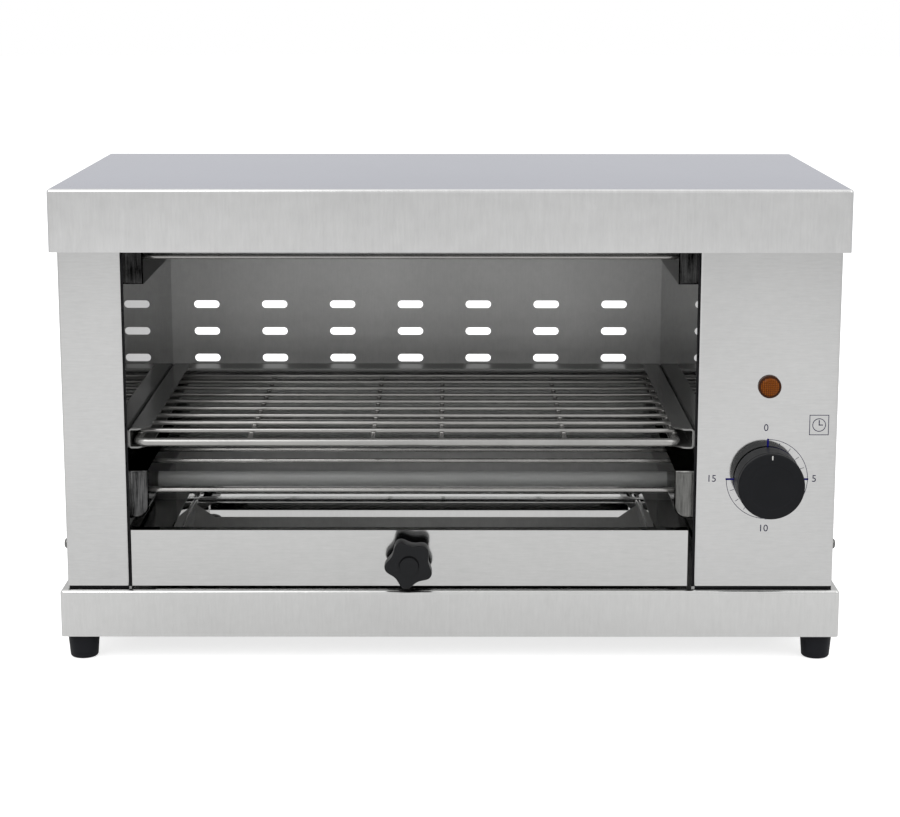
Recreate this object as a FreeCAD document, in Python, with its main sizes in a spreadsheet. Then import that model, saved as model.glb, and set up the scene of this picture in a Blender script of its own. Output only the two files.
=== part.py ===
"""Counter-top toaster with quartz heaters, a sliding wire rack and a crumb tray.

Millimetres. +Z is up, the front faces -Y and +X is to the right of someone standing in front.
The origin is under the middle of the whole object, on the surface that its feet stand on.
"""

import FreeCAD, Part

import math
import os

import Sketcher

# Driving sizes

SIZES = {
    # Sheet metal
    "sheet": 1.0,
    "bend_radius": 2.0,
    "seam": 1.5,
    "slide_gap": 0.3,
    # Hood
    "hood_side_overhang": 3.5,
    "hood_rear_overhang": 11.0,
    "hood_skirt": 37.5,
    "hood_hem": 2.2,
    "hood_stud_radius": 2.5,
    "hood_stud_length": 10.0,
    "hood_stud_inset": 19.0,
    "hood_nut_radius": 4.6,
    "hood_nut_height": 4.0,
    # Body shell
    "panel_setback": 8.0,
    "body_width": 468.0,
    "body_depth": 230.0,
    "body_height": 244.1,
    "post_width": 38.0,
    "control_width": 85.0,
    "case_flange": 12.0,
    # Base pan and feet
    "base_side_overhang": 3.9,
    "base_front_overhang": 6.0,
    "base_rear_overhang": 7.0,
    "base_height": 29.2,
    "base_sheet": 1.2,
    "base_return": 22.0,
    "foot_height": 16.0,
    "foot_top_radius": 9.8,
    "foot_tip_radius": 8.6,
    "foot_edge": 1.6,
    "foot_side_inset": 11.6,
    "foot_end_inset": 14.0,
    "foot_recess_radius": 5.5,
    "foot_recess": 6.0,
    "foot_bolt_radius": 2.5,
    "foot_bolt_head_radius": 4.6,
    "foot_bolt_head": 3.2,
    "foot_bolt_reach": 7.0,
    "foot_nut_radius": 4.6,
    "foot_nut_height": 4.0,
    # Cavity
    "roof_drop": 27.3,
    "roof_lip": 8.0,
    "liner_flange": 10.0,
    # Vent slots in the rear wall
    "slot_length": 17.8,
    "slot_height": 5.4,
    "slot_pitch": 47.6,
    "slot_row_pitch": 19.0,
    "slot_rise": 102.7,
    "slot_shift": 4.2,
    # Rack rails
    "rail_rise": 86.4,
    "rail_height": 12.2,
    "rail_flange": 12.5,
    "rail_inset": 5.0,
    "rail_corner": 7.0,
    "ledge_depth": 20.0,
    # Wire rack
    "rack_left_gap": 2.4,
    "rack_right_gap": 7.6,
    "rack_front_gap": 3.0,
    "rack_back_gap": 3.0,
    "rack_frame_radius": 2.5,
    "rack_bend_radius": 7.0,
    "rack_wire_radius": 1.5,
    "rack_wire_pitch": 23.0,
    "rack_inner_stay": 21.0,
    "rack_outer_stay": 96.0,
    "weld_sink": 0.3,
    # Heater brackets
    "bracket_width": 11.0,
    "bracket_height": 30.3,
    "bracket_rise": 42.3,
    "bracket_inset": 6.0,
    "bracket_round": 9.0,
    # Quartz heaters
    "tube_radius": 5.0,
    "tube_wall": 1.0,
    "tube_drop": 17.3,
    "tube_front": 57.0,
    "tube_pitch": 110.0,
    "tube_clearance": 0.5,
    "tube_inset": 2.0,
    "element_radius": 3.0,
    "pin_radius": 1.5,
    "pin_tail": 3.0,
    "cap_radius": 6.5,
    "cap_collar_radius": 9.0,
    "cap_collar": 4.0,
    "cap_tail": 12.0,
    "cap_grip": 8.0,
    "cap_nut_radius": 3.6,
    "cap_nut": 4.0,
    # Guard wires
    "guard_radius": 1.5,
    "guard_tail": 3.0,
    "guard_clearance": 0.1,
    "guard_front": 19.0,
    "guard_front_drop": 15.3,
    "guard_row_start": 54.0,
    "guard_row_pitch": 32.0,
    "guard_row_drop": 4.8,
    # Crumb tray
    "tray_side_gap": 14.0,
    "tray_back_gap": 5.0,
    "tray_wall_height": 14.5,
    "tray_front_wall_height": 29.0,
    "tray_front_height": 35.0,
    "tray_front_lip": 8.0,
    "tray_left_gap": 1.6,
    "tray_right_gap": 3.9,
    # Star knob on the crumb tray
    "star_radius": 14.9,
    "star_lobe_radius": 5.2,
    "star_core_radius": 11.8,
    "star_head": 13.0,
    "star_edge": 1.2,
    "star_hub_radius": 7.0,
    "star_hub": 7.5,
    "star_cap_radius": 5.7,
    "star_cap_depth": 1.6,
    "star_cap_proud": 0.5,
    "star_bolt_radius": 3.0,
    "star_bolt_head_radius": 5.0,
    "star_bolt_head": 2.4,
    "star_bolt_reach": 12.0,
    # Timer and its knob
    "control_inset": 41.8,
    "timer_rise": 68.6,
    "knob_radius": 20.2,
    "knob_tip_radius": 20.0,
    "knob_depth": 20.0,
    "knob_edge": 0.8,
    "knob_gap": 1.5,
    "knob_bore_radius": 17.0,
    "knob_bore_depth": 12.0,
    "knob_boss_radius": 6.0,
    "knob_boss_gap": 4.0,
    "shaft_radius": 3.0,
    "shaft_clearance": 0.05,
    "shaft_grip": 4.0,
    "shaft_tail": 12.0,
    "bush_radius": 5.0,
    "bush_reach": 4.0,
    "bush_clearance": 0.2,
    "timer_nut_radius": 8.0,
    "timer_nut_height": 3.0,
    "timer_size": 54.0,
    "timer_depth": 38.0,
    "timer_tab_pitch": 10.0,
    "timer_tab_width": 4.0,
    "timer_tab_reach": 8.0,
    # Pilot lamp
    "lamp_rise": 57.2,
    "lamp_flange_radius": 6.9,
    "lamp_flange": 2.0,
    "lamp_lens_radius": 5.6,
    "lamp_lens_height": 1.6,
    "lamp_lens_edge": 1.2,
    "lamp_body_radius": 5.4,
    "lamp_body_depth": 25.0,
    "lamp_clearance": 0.3,
    "lamp_clip_radius": 8.0,
    "lamp_clip_height": 3.0,
    # Cable gland
    "gland_rise": 29.8,
    "gland_thread_radius": 8.0,
    "gland_bore_radius": 4.5,
    "gland_flange_radius": 12.0,
    "gland_flange": 5.0,
    "gland_nose_radius": 9.5,
    "gland_nose": 16.0,
    "gland_tip_radius": 7.6,
    "gland_tail": 9.0,
    "gland_clearance": 0.1,
    "gland_nut_height": 5.0,
    # Terminal block, earth stud and leads
    "block_end": 6.0,
    "block_well": 10.0,
    "block_depth": 20.0,
    "block_height": 20.0,
    "block_setback": 13.0,
    "block_post_pitch": 12.0,
    "earth_radius": 2.5,
    "earth_height": 18.0,
    "earth_inset": 16.0,
    "earth_setback": 60.0,
    "earth_nut_radius": 4.6,
    "earth_nut_height": 4.0,
    "lead_radius": 1.5,
    "lamp_lead_radius": 0.9,
    "jumper_reach": 7.0,
    "jumper_bend_radius": 5.0,
    # Casing screws
    "tab_width": 16.0,
    "tab_height": 36.0,
    "tab_foot": 12.0,
    "side_screw_rise": 26.5,
    "side_screw_inset": 7.0,
    "screw_radius": 2.0,
    "screw_head_radius": 3.2,
    "screw_head_height": 2.2,
    "screw_reach": 6.0,
    "rear_screw_rise": 55.0,
    "rear_screw_drop": 25.1,
}

SLOT_COLUMNS = 7
SLOT_ROWS = 3
RACK_CROSS_WIRES = 9
LOWER_GUARD_ROW = 5
STAR_LOBES = 5
STAR_TURN = 17.0
REAR_SCREWS_EACH_SIDE = 3
BLOCK_POSTS = 4
LOW, HIGH = -1, 1

doc = FreeCAD.newDocument("Toaster")


class Size:
    """A length with the spreadsheet formula that gives it and its value in millimetres."""

    def __init__(self, formula, value):
        self.formula = formula
        self.value = value

    @staticmethod
    def of(other):
        return other if isinstance(other, Size) else Size(repr(float(other)), float(other))

    def __add__(self, other):
        other = Size.of(other)
        return Size(f"({self.formula} + {other.formula})", self.value + other.value)

    def __sub__(self, other):
        other = Size.of(other)
        return Size(f"({self.formula} - {other.formula})", self.value - other.value)

    def __mul__(self, other):
        other = Size.of(other)
        return Size(f"({self.formula} * {other.formula})", self.value * other.value)

    def __truediv__(self, other):
        other = Size.of(other)
        return Size(f"({self.formula} / {other.formula})", self.value / other.value)

    def __radd__(self, other):
        return Size.of(other) + self

    def __rsub__(self, other):
        return Size.of(other) - self

    def __rmul__(self, other):
        return Size.of(other) * self

    def __neg__(self):
        return Size.of(0) - self


class Sizes:
    """The spreadsheet, with each of its cells as an attribute."""

    def __init__(self, table):
        cells = doc.addObject("Spreadsheet::Sheet", "Sizes")
        for row, (alias, number) in enumerate(table.items(), start=1):
            cells.set(f"A{row}", alias)
            cells.set(f"B{row}", str(number))
            cells.setAlias(f"B{row}", alias)
        doc.recompute()
        for alias in table:
            setattr(self, alias, Size(f"Sizes.{alias}", float(getattr(cells, alias))))


s = Sizes(SIZES)
sub_parts = []

# Shape helpers


def bind(obj, prop, size):
    """Tie one property of an object to a size."""
    size = Size.of(size)
    obj.setExpression(prop, size.formula)


def place(obj, at, rotation=None):
    """Put an object at a point given in sizes, turned as asked."""
    obj.Placement = FreeCAD.Placement(FreeCAD.Vector(), rotation or FreeCAD.Rotation())
    for axis, size in zip("xyz", at):
        bind(obj, f"Placement.Base.{axis}", size)


def new(kind, name):
    return doc.addObject(kind, name)


def sub_part(obj, label):
    """Name a finished sub-part; the label is its file's name."""
    obj.Label = label
    sub_parts.append(obj)
    return obj


def box(name, x, y, z):
    """A block between the low and high sizes on each axis."""
    obj = new("Part::Box", name)
    for prop, (low, high) in zip(("Length", "Width", "Height"), (x, y, z)):
        bind(obj, prop, Size.of(high) - low)
    place(obj, (x[0], y[0], z[0]))
    return obj


ROD_TURN = {
    "x": FreeCAD.Rotation(FreeCAD.Vector(0, 1, 0), 90),
    "y": FreeCAD.Rotation(FreeCAD.Vector(1, 0, 0), -90),
    "z": FreeCAD.Rotation(),
}


def along(axis, at, low):
    """The point at one end of a rod: the rod's own axis holds low, the other two hold at."""
    first, second = at
    return {"x": (low, first, second), "y": (first, low, second), "z": (first, second, low)}[axis]


def rod(name, axis, at, span, radius):
    """A cylinder along an axis, at a point of the plane across it, between two sizes."""
    obj = new("Part::Cylinder", name)
    bind(obj, "Radius", radius)
    bind(obj, "Height", Size.of(span[1]) - span[0])
    place(obj, along(axis, at, span[0]), ROD_TURN[axis])
    return obj


def hexagon(name, axis, at, span, radius):
    """A hexagonal prism, such as a nut, along an axis."""
    obj = new("Part::Prism", name)
    obj.Polygon = 6
    bind(obj, "Circumradius", radius)
    bind(obj, "Height", Size.of(span[1]) - span[0])
    place(obj, along(axis, at, span[0]), ROD_TURN[axis])
    return obj


def past(low, high):
    """A span that runs past both faces, for a cut that goes right through."""
    return low - s.sheet, high + s.sheet


def fuse(name, shapes):
    obj = new("Part::MultiFuse", name)
    obj.Shapes = shapes
    return obj


def cut(name, base, tools):
    """A shape less one or more others."""
    obj = new("Part::Cut", name)
    obj.Base = base
    obj.Tool = tools[0] if len(tools) == 1 else fuse(f"{name}_tools", tools)
    return obj


def group(name, shapes):
    """Separate solids kept in one sub-part."""
    obj = new("Part::Compound", name)
    obj.Links = shapes
    return obj


def rounded(name, base, radius, wanted):
    """Round the edges of a shape whose direction and midpoint the test accepts."""
    doc.recompute()
    obj = new("Part::Fillet", name)
    obj.Base = base
    chosen = []
    for number, edge in enumerate(base.Shape.Edges, start=1):
        start, end = edge.Vertexes[0].Point, edge.Vertexes[-1].Point
        if wanted((end - start).normalize(), (start + end) * 0.5):
            chosen.append((number, radius.value, radius.value))
    obj.Edges = chosen
    return obj


def is_along(direction, axis):
    return abs(getattr(direction, axis)) > 0.99


def depth_edge_at(x, z):
    """A test for the edge that runs front to back at one x and z."""
    near = s.sheet.value / 2

    def wanted(way, middle):
        return is_along(way, "y") and abs(middle.x - x.value) < near and abs(middle.z - z.value) < near

    return wanted


def new_body(name):
    return new("PartDesign::Body", name)


def origin_plane(body, role):
    return next(f for f in body.Origin.OriginFeatures if f.Role == role)


def sketch_on(body, role, name, offset=None):
    """An empty sketch on one of the body's own planes, raised by an offset if there is one."""
    sketch = body.newObject("Sketcher::SketchObject", name)
    sketch.AttachmentSupport = [(origin_plane(body, role), "")]
    sketch.MapMode = "FlatFace"
    if offset is not None:
        bind(sketch, "AttachmentOffset.Base.z", offset)
    return sketch


def hold_point(sketch, line, end, point):
    """Fix one end of a sketch line at a point given in sizes."""
    for kind, axis_line, size in (("DistanceX", -2, point[0]), ("DistanceY", -1, point[1])):
        size = Size.of(size)
        if size.value == 0:
            sketch.addConstraint(Sketcher.Constraint("PointOnObject", line, end, axis_line))
        else:
            index = sketch.addConstraint(Sketcher.Constraint(kind, -1, 1, line, end, size.value))
            sketch.setExpression(f"Constraints[{index}]", size.formula)


def add_outline(sketch, points):
    """Draw a closed outline of straight lines through points given in sizes."""
    corners = [FreeCAD.Vector(Size.of(u).value, Size.of(v).value, 0) for u, v in points]
    first = sketch.GeometryCount
    count = len(corners)
    for i, corner in enumerate(corners):
        sketch.addGeometry(Part.LineSegment(corner, corners[(i + 1) % count]), False)
    for i in range(count):
        joined = first + (i + 1) % count
        sketch.addConstraint(Sketcher.Constraint("Coincident", first + i, 2, joined, 1))
    for i, point in enumerate(points):
        hold_point(sketch, first + i, 1, point)


def add_rectangle(sketch, u, v):
    add_outline(sketch, [(u[0], v[0]), (u[1], v[0]), (u[1], v[1]), (u[0], v[1])])


def add_circle(sketch, centre, radius):
    """Draw a circle at a point given in sizes."""
    middle = FreeCAD.Vector(Size.of(centre[0]).value, Size.of(centre[1]).value, 0)
    number = sketch.addGeometry(Part.Circle(middle, FreeCAD.Vector(0, 0, 1), radius.value), False)
    index = sketch.addConstraint(Sketcher.Constraint("Radius", number, radius.value))
    sketch.setExpression(f"Constraints[{index}]", radius.formula)
    hold_point(sketch, number, 3, centre)


def pad(body, sketch, name, length):
    feature = body.newObject("PartDesign::Pad", name)
    feature.Profile = sketch
    bind(feature, "Length", length)
    return feature


def pocket(body, sketch, name, length, reversed_way=False):
    feature = body.newObject("PartDesign::Pocket", name)
    feature.Profile = sketch
    feature.Reversed = reversed_way
    bind(feature, "Length", length)
    return feature


def turned(name, outline, at, rotation=None):
    """A body turned on a lathe: its outline is in (radius, height) from its own base."""
    body = new_body(name)
    sketch = sketch_on(body, "XZ_Plane", f"{name}_profile")
    add_outline(sketch, outline)
    feature = body.newObject("PartDesign::Revolution", f"{name}_turning")
    feature.Profile = sketch
    feature.ReferenceAxis = (sketch, ["V_Axis"])
    feature.Angle = 360
    place(body, at, rotation)
    return body


TO_FRONT = FreeCAD.Rotation(FreeCAD.Vector(1, 0, 0), 90)
TO_REAR = FreeCAD.Rotation(FreeCAD.Vector(1, 0, 0), -90)


def lead(name, points, radius, bend=0.45):
    """A wire along straight runs joined by tangent arcs, as wide as its runs allow."""
    corners = [FreeCAD.Vector(*p) for p in points]
    edges = []
    start = corners[0]
    for before, corner, after in zip(corners, corners[1:], corners[2:]):
        back, ahead = before - corner, after - corner
        half = (math.pi - back.getAngle(ahead)) / 2
        if isinstance(bend, Size):
            reach = bend.value * math.tan(half)
        else:
            reach = bend * min(back.Length, ahead.Length)
        leave = corner + back.normalize() * reach
        join = corner + ahead.normalize() * reach
        arc_radius = reach / math.tan(half)
        to_centre = (back + ahead).normalize()
        middle = corner + to_centre * (arc_radius / math.cos(half) - arc_radius)
        edges += [Part.LineSegment(start, leave).toShape(), Part.Arc(leave, middle, join).toShape()]
        start = join
    edges.append(Part.LineSegment(start, corners[-1]).toShape())
    path = Part.Wire(edges)
    section = Part.Wire(Part.Circle(corners[0], corners[1] - corners[0], radius.value).toShape())
    obj = new("Part::Feature", name)
    obj.Shape = path.makePipeShell([section], True, False)
    return obj


# Places that several sub-parts share

front_reach = s.knob_gap + s.knob_depth - s.panel_setback
rear_reach = s.panel_setback + s.body_depth + s.gland_flange + s.gland_nose
hood_front = (front_reach - rear_reach) / 2
panel_face = hood_front + s.panel_setback
back_face = panel_face + s.body_depth
wall_face = back_face - s.sheet
base_top = s.foot_height + s.base_height
hood_under = base_top + s.body_height
hood_top = hood_under + s.sheet
half_body = s.body_width / 2
half_base = half_body + s.base_side_overhang
base_front = panel_face - s.base_front_overhang
base_back = back_face + s.base_rear_overhang
left_edge = s.post_width - half_body
right_edge = half_body - s.control_width
left_face = left_edge + s.sheet
right_face = right_edge - s.sheet
cavity_middle = (left_face + right_face) / 2
roof_under = hood_under - s.roof_drop
rail_bottom = base_top + s.rail_rise
rail_top = rail_bottom + s.rail_height
control_x = half_body - s.control_inset
timer_z = base_top + s.timer_rise
lamp_z = timer_z + s.lamp_rise
tube_ys = (panel_face + s.tube_front, panel_face + s.tube_front + s.tube_pitch)
lower_bracket = (base_top + s.bracket_rise, base_top + s.bracket_rise + s.bracket_height)
upper_bracket = (roof_under - s.bracket_height, roof_under)
lower_tube_z = lower_bracket[1] - s.tube_drop
upper_tube_z = upper_bracket[0] + s.tube_drop
tube_rows = {"lower": lower_tube_z, "upper": upper_tube_z}
tube_places = [(y, z) for z in tube_rows.values() for y in tube_ys]
lower_guard_places = [(panel_face + s.guard_front, lower_bracket[1] - s.guard_front_drop)] + [
    (panel_face + s.guard_row_start + i * s.guard_row_pitch, lower_bracket[1] - s.guard_row_drop)
    for i in range(LOWER_GUARD_ROW)
]
upper_guard_places = [
    (y, upper_bracket[0] + s.guard_front_drop)
    for y in (panel_face + s.guard_front, wall_face - s.guard_front)
]


# Hood


def make_hood():
    """A shallow lid whose skirt is folded down, with a narrow hem turned in under the skirt."""
    half = half_body + s.hood_side_overhang
    x, y = (-half, half), (hood_front, back_face + s.hood_rear_overhang)
    skirt_bottom = hood_top - s.hood_skirt
    block = box("hood_block", x, y, (skirt_bottom, hood_top))
    shell = rounded(
        "hood_shell", block, s.bend_radius,
        lambda way, middle: is_along(way, "z") or middle.z > hood_top.value - s.sheet.value,
    )
    inner = box(
        "hood_inside", (x[0] + s.sheet, x[1] - s.sheet), (y[0] + s.sheet, y[1] - s.sheet),
        (skirt_bottom + s.sheet, hood_under),
    )
    mouth = box(
        "hood_mouth", (x[0] + s.hood_hem, x[1] - s.hood_hem), (y[0] + s.hood_hem, y[1] - s.hood_hem),
        (skirt_bottom - s.sheet, skirt_bottom + 2 * s.sheet),
    )
    sub_part(cut("hood", shell, [inner, mouth]), "hood")


def hood_stud_places():
    """Where the hood's studs pass the casings' top flanges."""
    xs = (s.hood_stud_inset - half_body, half_body - s.hood_stud_inset)
    ys = (panel_face + s.hood_stud_inset, back_face - s.hood_stud_inset)
    return [(x, y) for x in xs for y in ys]


def make_hood_studs():
    """Studs welded under the hood, each with a nut below the casing's flange."""
    solids = []
    for i, at in enumerate(hood_stud_places()):
        stud = rod(f"stud_{i}", "z", at, (hood_under - s.hood_stud_length, hood_under), s.hood_stud_radius)
        flange_under = hood_under - s.sheet
        nut = hexagon(
            f"stud_nut_{i}", "z", at, (flange_under - s.hood_nut_height, flange_under), s.hood_nut_radius
        )
        solids.append(fuse(f"stud_with_nut_{i}", [stud, nut]))
    sub_part(group("hood_studs", solids), "hood_studs")


# Body shell


def stud_holes(prefix, places):
    return [
        rod(f"{prefix}_stud_hole_{i}", "z", at, (hood_under - 2 * s.sheet, hood_under + s.sheet),
            s.hood_stud_radius)
        for i, at in enumerate(places)
    ]


def side_screw_places():
    """Where the screws enter each side of the body."""
    z = base_top + s.side_screw_rise
    return [(y, z) for y in (panel_face + s.side_screw_inset, back_face - s.side_screw_inset)]


def rear_screw_places(side):
    """Where the casing's rear flange is screwed to the rear wall."""
    x = side * (half_body - s.case_flange / 2)
    lowest = base_top + s.rear_screw_rise
    pitch = (hood_under - s.rear_screw_drop - lowest) / (REAR_SCREWS_EACH_SIDE - 1)
    return [(x, lowest + i * pitch) for i in range(REAR_SCREWS_EACH_SIDE)]


def casing_holes(name, side):
    """The holes that both casings have: for studs, side screws and rear screws."""
    outer, inner = side * (half_body + s.sheet), side * (half_body - 2 * s.sheet)
    span = (outer, inner) if side < 0 else (inner, outer)
    studs = [at for at in hood_stud_places() if at[0].value * side > 0]
    holes = stud_holes(name, studs)
    for i, at in enumerate(side_screw_places()):
        holes.append(rod(f"{name}_side_hole_{i}", "x", at, span, s.screw_radius))
    for i, at in enumerate(rear_screw_places(side)):
        span_y = (back_face - s.sheet, back_face + 2 * s.sheet)
        holes.append(rod(f"{name}_rear_hole_{i}", "y", at, span_y, s.screw_radius))
    return holes


def make_casing(name, side, edge, extra_holes):
    """One side of the body: front face, side wall, rear flange and top flange in one sheet."""
    outer = side * half_body
    span = (outer, edge) if side < 0 else (edge, outer)
    hollow_x = (outer + s.sheet, edge + s.sheet) if side < 0 else (edge - s.sheet, outer - s.sheet)
    flange_edge = side * (half_body - s.case_flange)
    rear_x = (flange_edge, edge + s.sheet) if side < 0 else (edge - s.sheet, flange_edge)
    bottom = base_top + s.seam
    hollow = box(
        f"{name}_hollow", hollow_x, (panel_face + s.sheet, back_face),
        (bottom - s.sheet, hood_under - s.sheet),
    )
    rear = box(
        f"{name}_rear_gap", rear_x, (back_face, back_face + 2 * s.sheet),
        (bottom - s.sheet, hood_under + s.sheet),
    )
    block = box(f"{name}_block", span, (panel_face, back_face + s.sheet), (bottom, hood_under))
    folded = rounded(
        f"{name}_folded", block, s.bend_radius,
        lambda way, middle: is_along(way, "z") and middle.y < 0,
    )
    sub_part(cut(name, folded, [hollow, rear] + casing_holes(name, side) + extra_holes), name)


def make_casings():
    make_casing("left_casing", LOW, left_edge, [])
    depth = (panel_face - s.sheet, panel_face + 2 * s.sheet)
    timer_hole = rod("timer_hole", "y", (control_x, timer_z), depth, s.bush_radius + s.bush_clearance)
    lamp_hole = rod("lamp_hole", "y", (control_x, lamp_z), depth, s.lamp_body_radius + s.lamp_clearance)
    make_casing("control_casing", HIGH, right_edge, [timer_hole, lamp_hole])


def make_casing_tabs():
    """Angle tabs on the base that take the casings' side screws."""
    tabs = []
    for side in (LOW, HIGH):
        face = side * (half_body - s.sheet)
        for i, (y, z) in enumerate(side_screw_places()):
            low_y = panel_face + s.sheet if i == 0 else wall_face - s.tab_width
            y_span = (low_y, low_y + s.tab_width)
            inner, foot = face - side * s.sheet, face - side * s.tab_foot
            leg_x = (face, inner) if side < 0 else (inner, face)
            foot_x = (face, foot) if side < 0 else (foot, face)
            leg = box(f"tab_leg_{side}_{i}", leg_x, y_span, (base_top, base_top + s.tab_height))
            sole = box(f"tab_sole_{side}_{i}", foot_x, y_span, (base_top, base_top + s.sheet))
            hole = rod(f"tab_hole_{side}_{i}", "x", (y, z), leg_x, s.screw_radius)
            angle = fuse(f"tab_angle_{side}_{i}", [leg, sole])
            tabs.append(cut(f"tab_{side}_{i}", angle, [hole]))
    sub_part(group("casing_tabs", tabs), "casing_tabs")


def pan_head(name, axis, at, face, way):
    """A screw whose head stands on a face, towards the low or the high side; its shank goes in."""
    outer, tip = face + way * s.screw_head_height, face - way * s.screw_reach
    head_span, shank_span = ((outer, face), (face, tip)) if way < 0 else ((face, outer), (tip, face))
    head = rod(f"{name}_head", axis, at, head_span, s.screw_head_radius)
    shank = rod(f"{name}_shank", axis, at, shank_span, s.screw_radius)
    return fuse(name, [head, shank])


def make_screws():
    side = []
    for way in (LOW, HIGH):
        for i, at in enumerate(side_screw_places()):
            side.append(pan_head(f"side_screw_{way}_{i}", "x", at, way * half_body, way))
    sub_part(group("side_screws", side), "side_screws")
    rear = []
    for way in (LOW, HIGH):
        for i, at in enumerate(rear_screw_places(way)):
            rear.append(pan_head(f"rear_screw_{way}_{i}", "y", at, back_face + s.sheet, HIGH))
    sub_part(group("rear_screws", rear), "rear_screws")


# Base pan and feet


def foot_places():
    xs = (s.foot_side_inset - half_base, half_base - s.foot_side_inset)
    ys = (base_front + s.foot_end_inset, base_back - s.foot_end_inset)
    return {
        f"{row}_{side}": (x, y)
        for row, y in zip(("front", "rear"), ys)
        for side, x in zip(("left", "right"), xs)
    }


def make_base_pan():
    """An upside-down pan: a flat top, a skirt all round and a return flange that takes the feet."""
    x, y = (-half_base, half_base), (base_front, base_back)
    block = box("base_block", x, y, (s.foot_height, base_top))
    shell = rounded(
        "base_shell", block, s.bend_radius,
        lambda way, middle: is_along(way, "z") or middle.z > base_top.value - s.sheet.value,
    )
    wall = s.base_sheet
    inner = box(
        "base_inside", (x[0] + wall, x[1] - wall), (y[0] + wall, y[1] - wall),
        (s.foot_height + wall, base_top - wall),
    )
    edge = s.base_return
    mouth = box(
        "base_mouth", (x[0] + edge, x[1] - edge), (y[0] + edge, y[1] - edge),
        (s.foot_height - wall, s.foot_height + 2 * wall),
    )
    flange = past(s.foot_height, s.foot_height + wall)
    holes = [
        rod(f"foot_hole_{name}", "z", at, flange, s.foot_bolt_radius)
        for name, at in foot_places().items()
    ]
    earth = rod("earth_hole", "z", earth_place(), past(base_top - wall, base_top), s.earth_radius)
    sub_part(cut("base_pan", shell, [inner, mouth, earth] + holes), "base_pan")


def make_feet():
    """Tapered rubber feet, each with a bolt up through the pan's return flange."""
    bolts = []
    for name, (x, y) in foot_places().items():
        outline = [
            (s.foot_bolt_radius, s.foot_recess),
            (s.foot_recess_radius, s.foot_recess),
            (s.foot_recess_radius, 0),
            (s.foot_tip_radius - s.foot_edge, 0),
            (s.foot_tip_radius, s.foot_edge),
            (s.foot_top_radius, s.foot_height),
            (s.foot_bolt_radius, s.foot_height),
        ]
        sub_part(turned(f"foot_{name}", outline, (x, y, 0)), f"foot_{name}")
        flange_top = s.foot_height + s.base_sheet
        head_bottom = s.foot_recess - s.foot_bolt_head
        head = rod(
            f"bolt_head_{name}", "z", (x, y), (head_bottom, s.foot_recess), s.foot_bolt_head_radius
        )
        shank = rod(
            f"bolt_shank_{name}", "z", (x, y), (head_bottom, flange_top + s.foot_bolt_reach),
            s.foot_bolt_radius,
        )
        nut = hexagon(
            f"bolt_nut_{name}", "z", (x, y), (flange_top, flange_top + s.foot_nut_height), s.foot_nut_radius
        )
        bolts.append(fuse(f"foot_bolt_{name}", [head, shank, nut]))
    sub_part(group("foot_bolts", bolts), "foot_bolts")


# Cavity


def make_liner(name, side, edge):
    """A cavity side wall with a foot flange and round holes for the heaters' end caps."""
    inner = edge - side * s.sheet
    wall_x = (edge, inner) if side < 0 else (inner, edge)
    foot = edge + side * s.liner_flange
    foot_x = (foot, edge) if side < 0 else (edge, foot)
    y = (panel_face + s.sheet, wall_face)
    wall = box(f"{name}_wall", wall_x, y, (base_top, roof_under))
    sole = box(f"{name}_sole", foot_x, y, (base_top, base_top + s.sheet))
    cover = (wall_x[0] - s.sheet, wall_x[1] + s.sheet)
    holes = [
        rod(f"{name}_hole_{i}", "x", at, cover, s.cap_radius) for i, at in enumerate(tube_places)
    ]
    sub_part(cut(name, fuse(f"{name}_angle", [wall, sole]), holes), name)


def make_roof():
    """The cavity's ceiling, with a lip turned down behind the hood's skirt."""
    x = (left_edge, right_edge)
    front = panel_face + s.sheet
    top = box("roof_plate", x, (front, wall_face), (roof_under, roof_under + s.sheet))
    lip = box(
        "roof_lip", (left_face, right_face), (front, front + s.sheet), (roof_under - s.roof_lip, roof_under)
    )
    sub_part(fuse("cavity_roof", [top, lip]), "cavity_roof")


def make_rear_wall():
    """The rear wall in one sheet, with rows of round-ended vent slots behind the cavity."""
    body = new_body("rear_wall")
    inside = half_body - s.sheet
    outline = sketch_on(body, "XZ_Plane", "rear_wall_outline")
    add_rectangle(outline, (-inside, inside), (base_top, hood_under - s.sheet))
    pad(body, outline, "rear_wall_sheet", s.sheet).Reversed = True
    doc.recompute()
    slot = sketch_on(body, "XZ_Plane", "vent_slot")
    first_x = cavity_middle - s.slot_shift - s.slot_pitch * (SLOT_COLUMNS - 1) / 2
    first_z = base_top + s.slot_rise
    add_slot(slot, (first_x, first_z), s.slot_length, s.slot_height)
    slot_cut = pocket(body, slot, "vent_slot_cut", s.sheet)
    columns = linear_pattern(body, "slot_columns", slot, "H_Axis", s.slot_pitch, SLOT_COLUMNS)
    rows = linear_pattern(body, "slot_rows", slot, "V_Axis", s.slot_row_pitch, SLOT_ROWS)
    grid = body.newObject("PartDesign::MultiTransform", "vent_slots")
    grid.Originals = [slot_cut]
    grid.Transformations = [columns, rows]
    body.Tip = grid
    doc.recompute()
    gland = sketch_on(body, "XZ_Plane", "gland_hole")
    add_circle(gland, (control_x, base_top + s.gland_rise), s.gland_thread_radius + s.gland_clearance)
    pocket(body, gland, "gland_hole_cut", s.sheet)
    screws = sketch_on(body, "XZ_Plane", "rear_screw_holes")
    for side in (LOW, HIGH):
        for at in rear_screw_places(side):
            add_circle(screws, at, s.screw_radius)
    pocket(body, screws, "rear_screw_holes_cut", s.sheet)
    place(body, (0, wall_face, 0))
    sub_part(body, "rear_wall")


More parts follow.
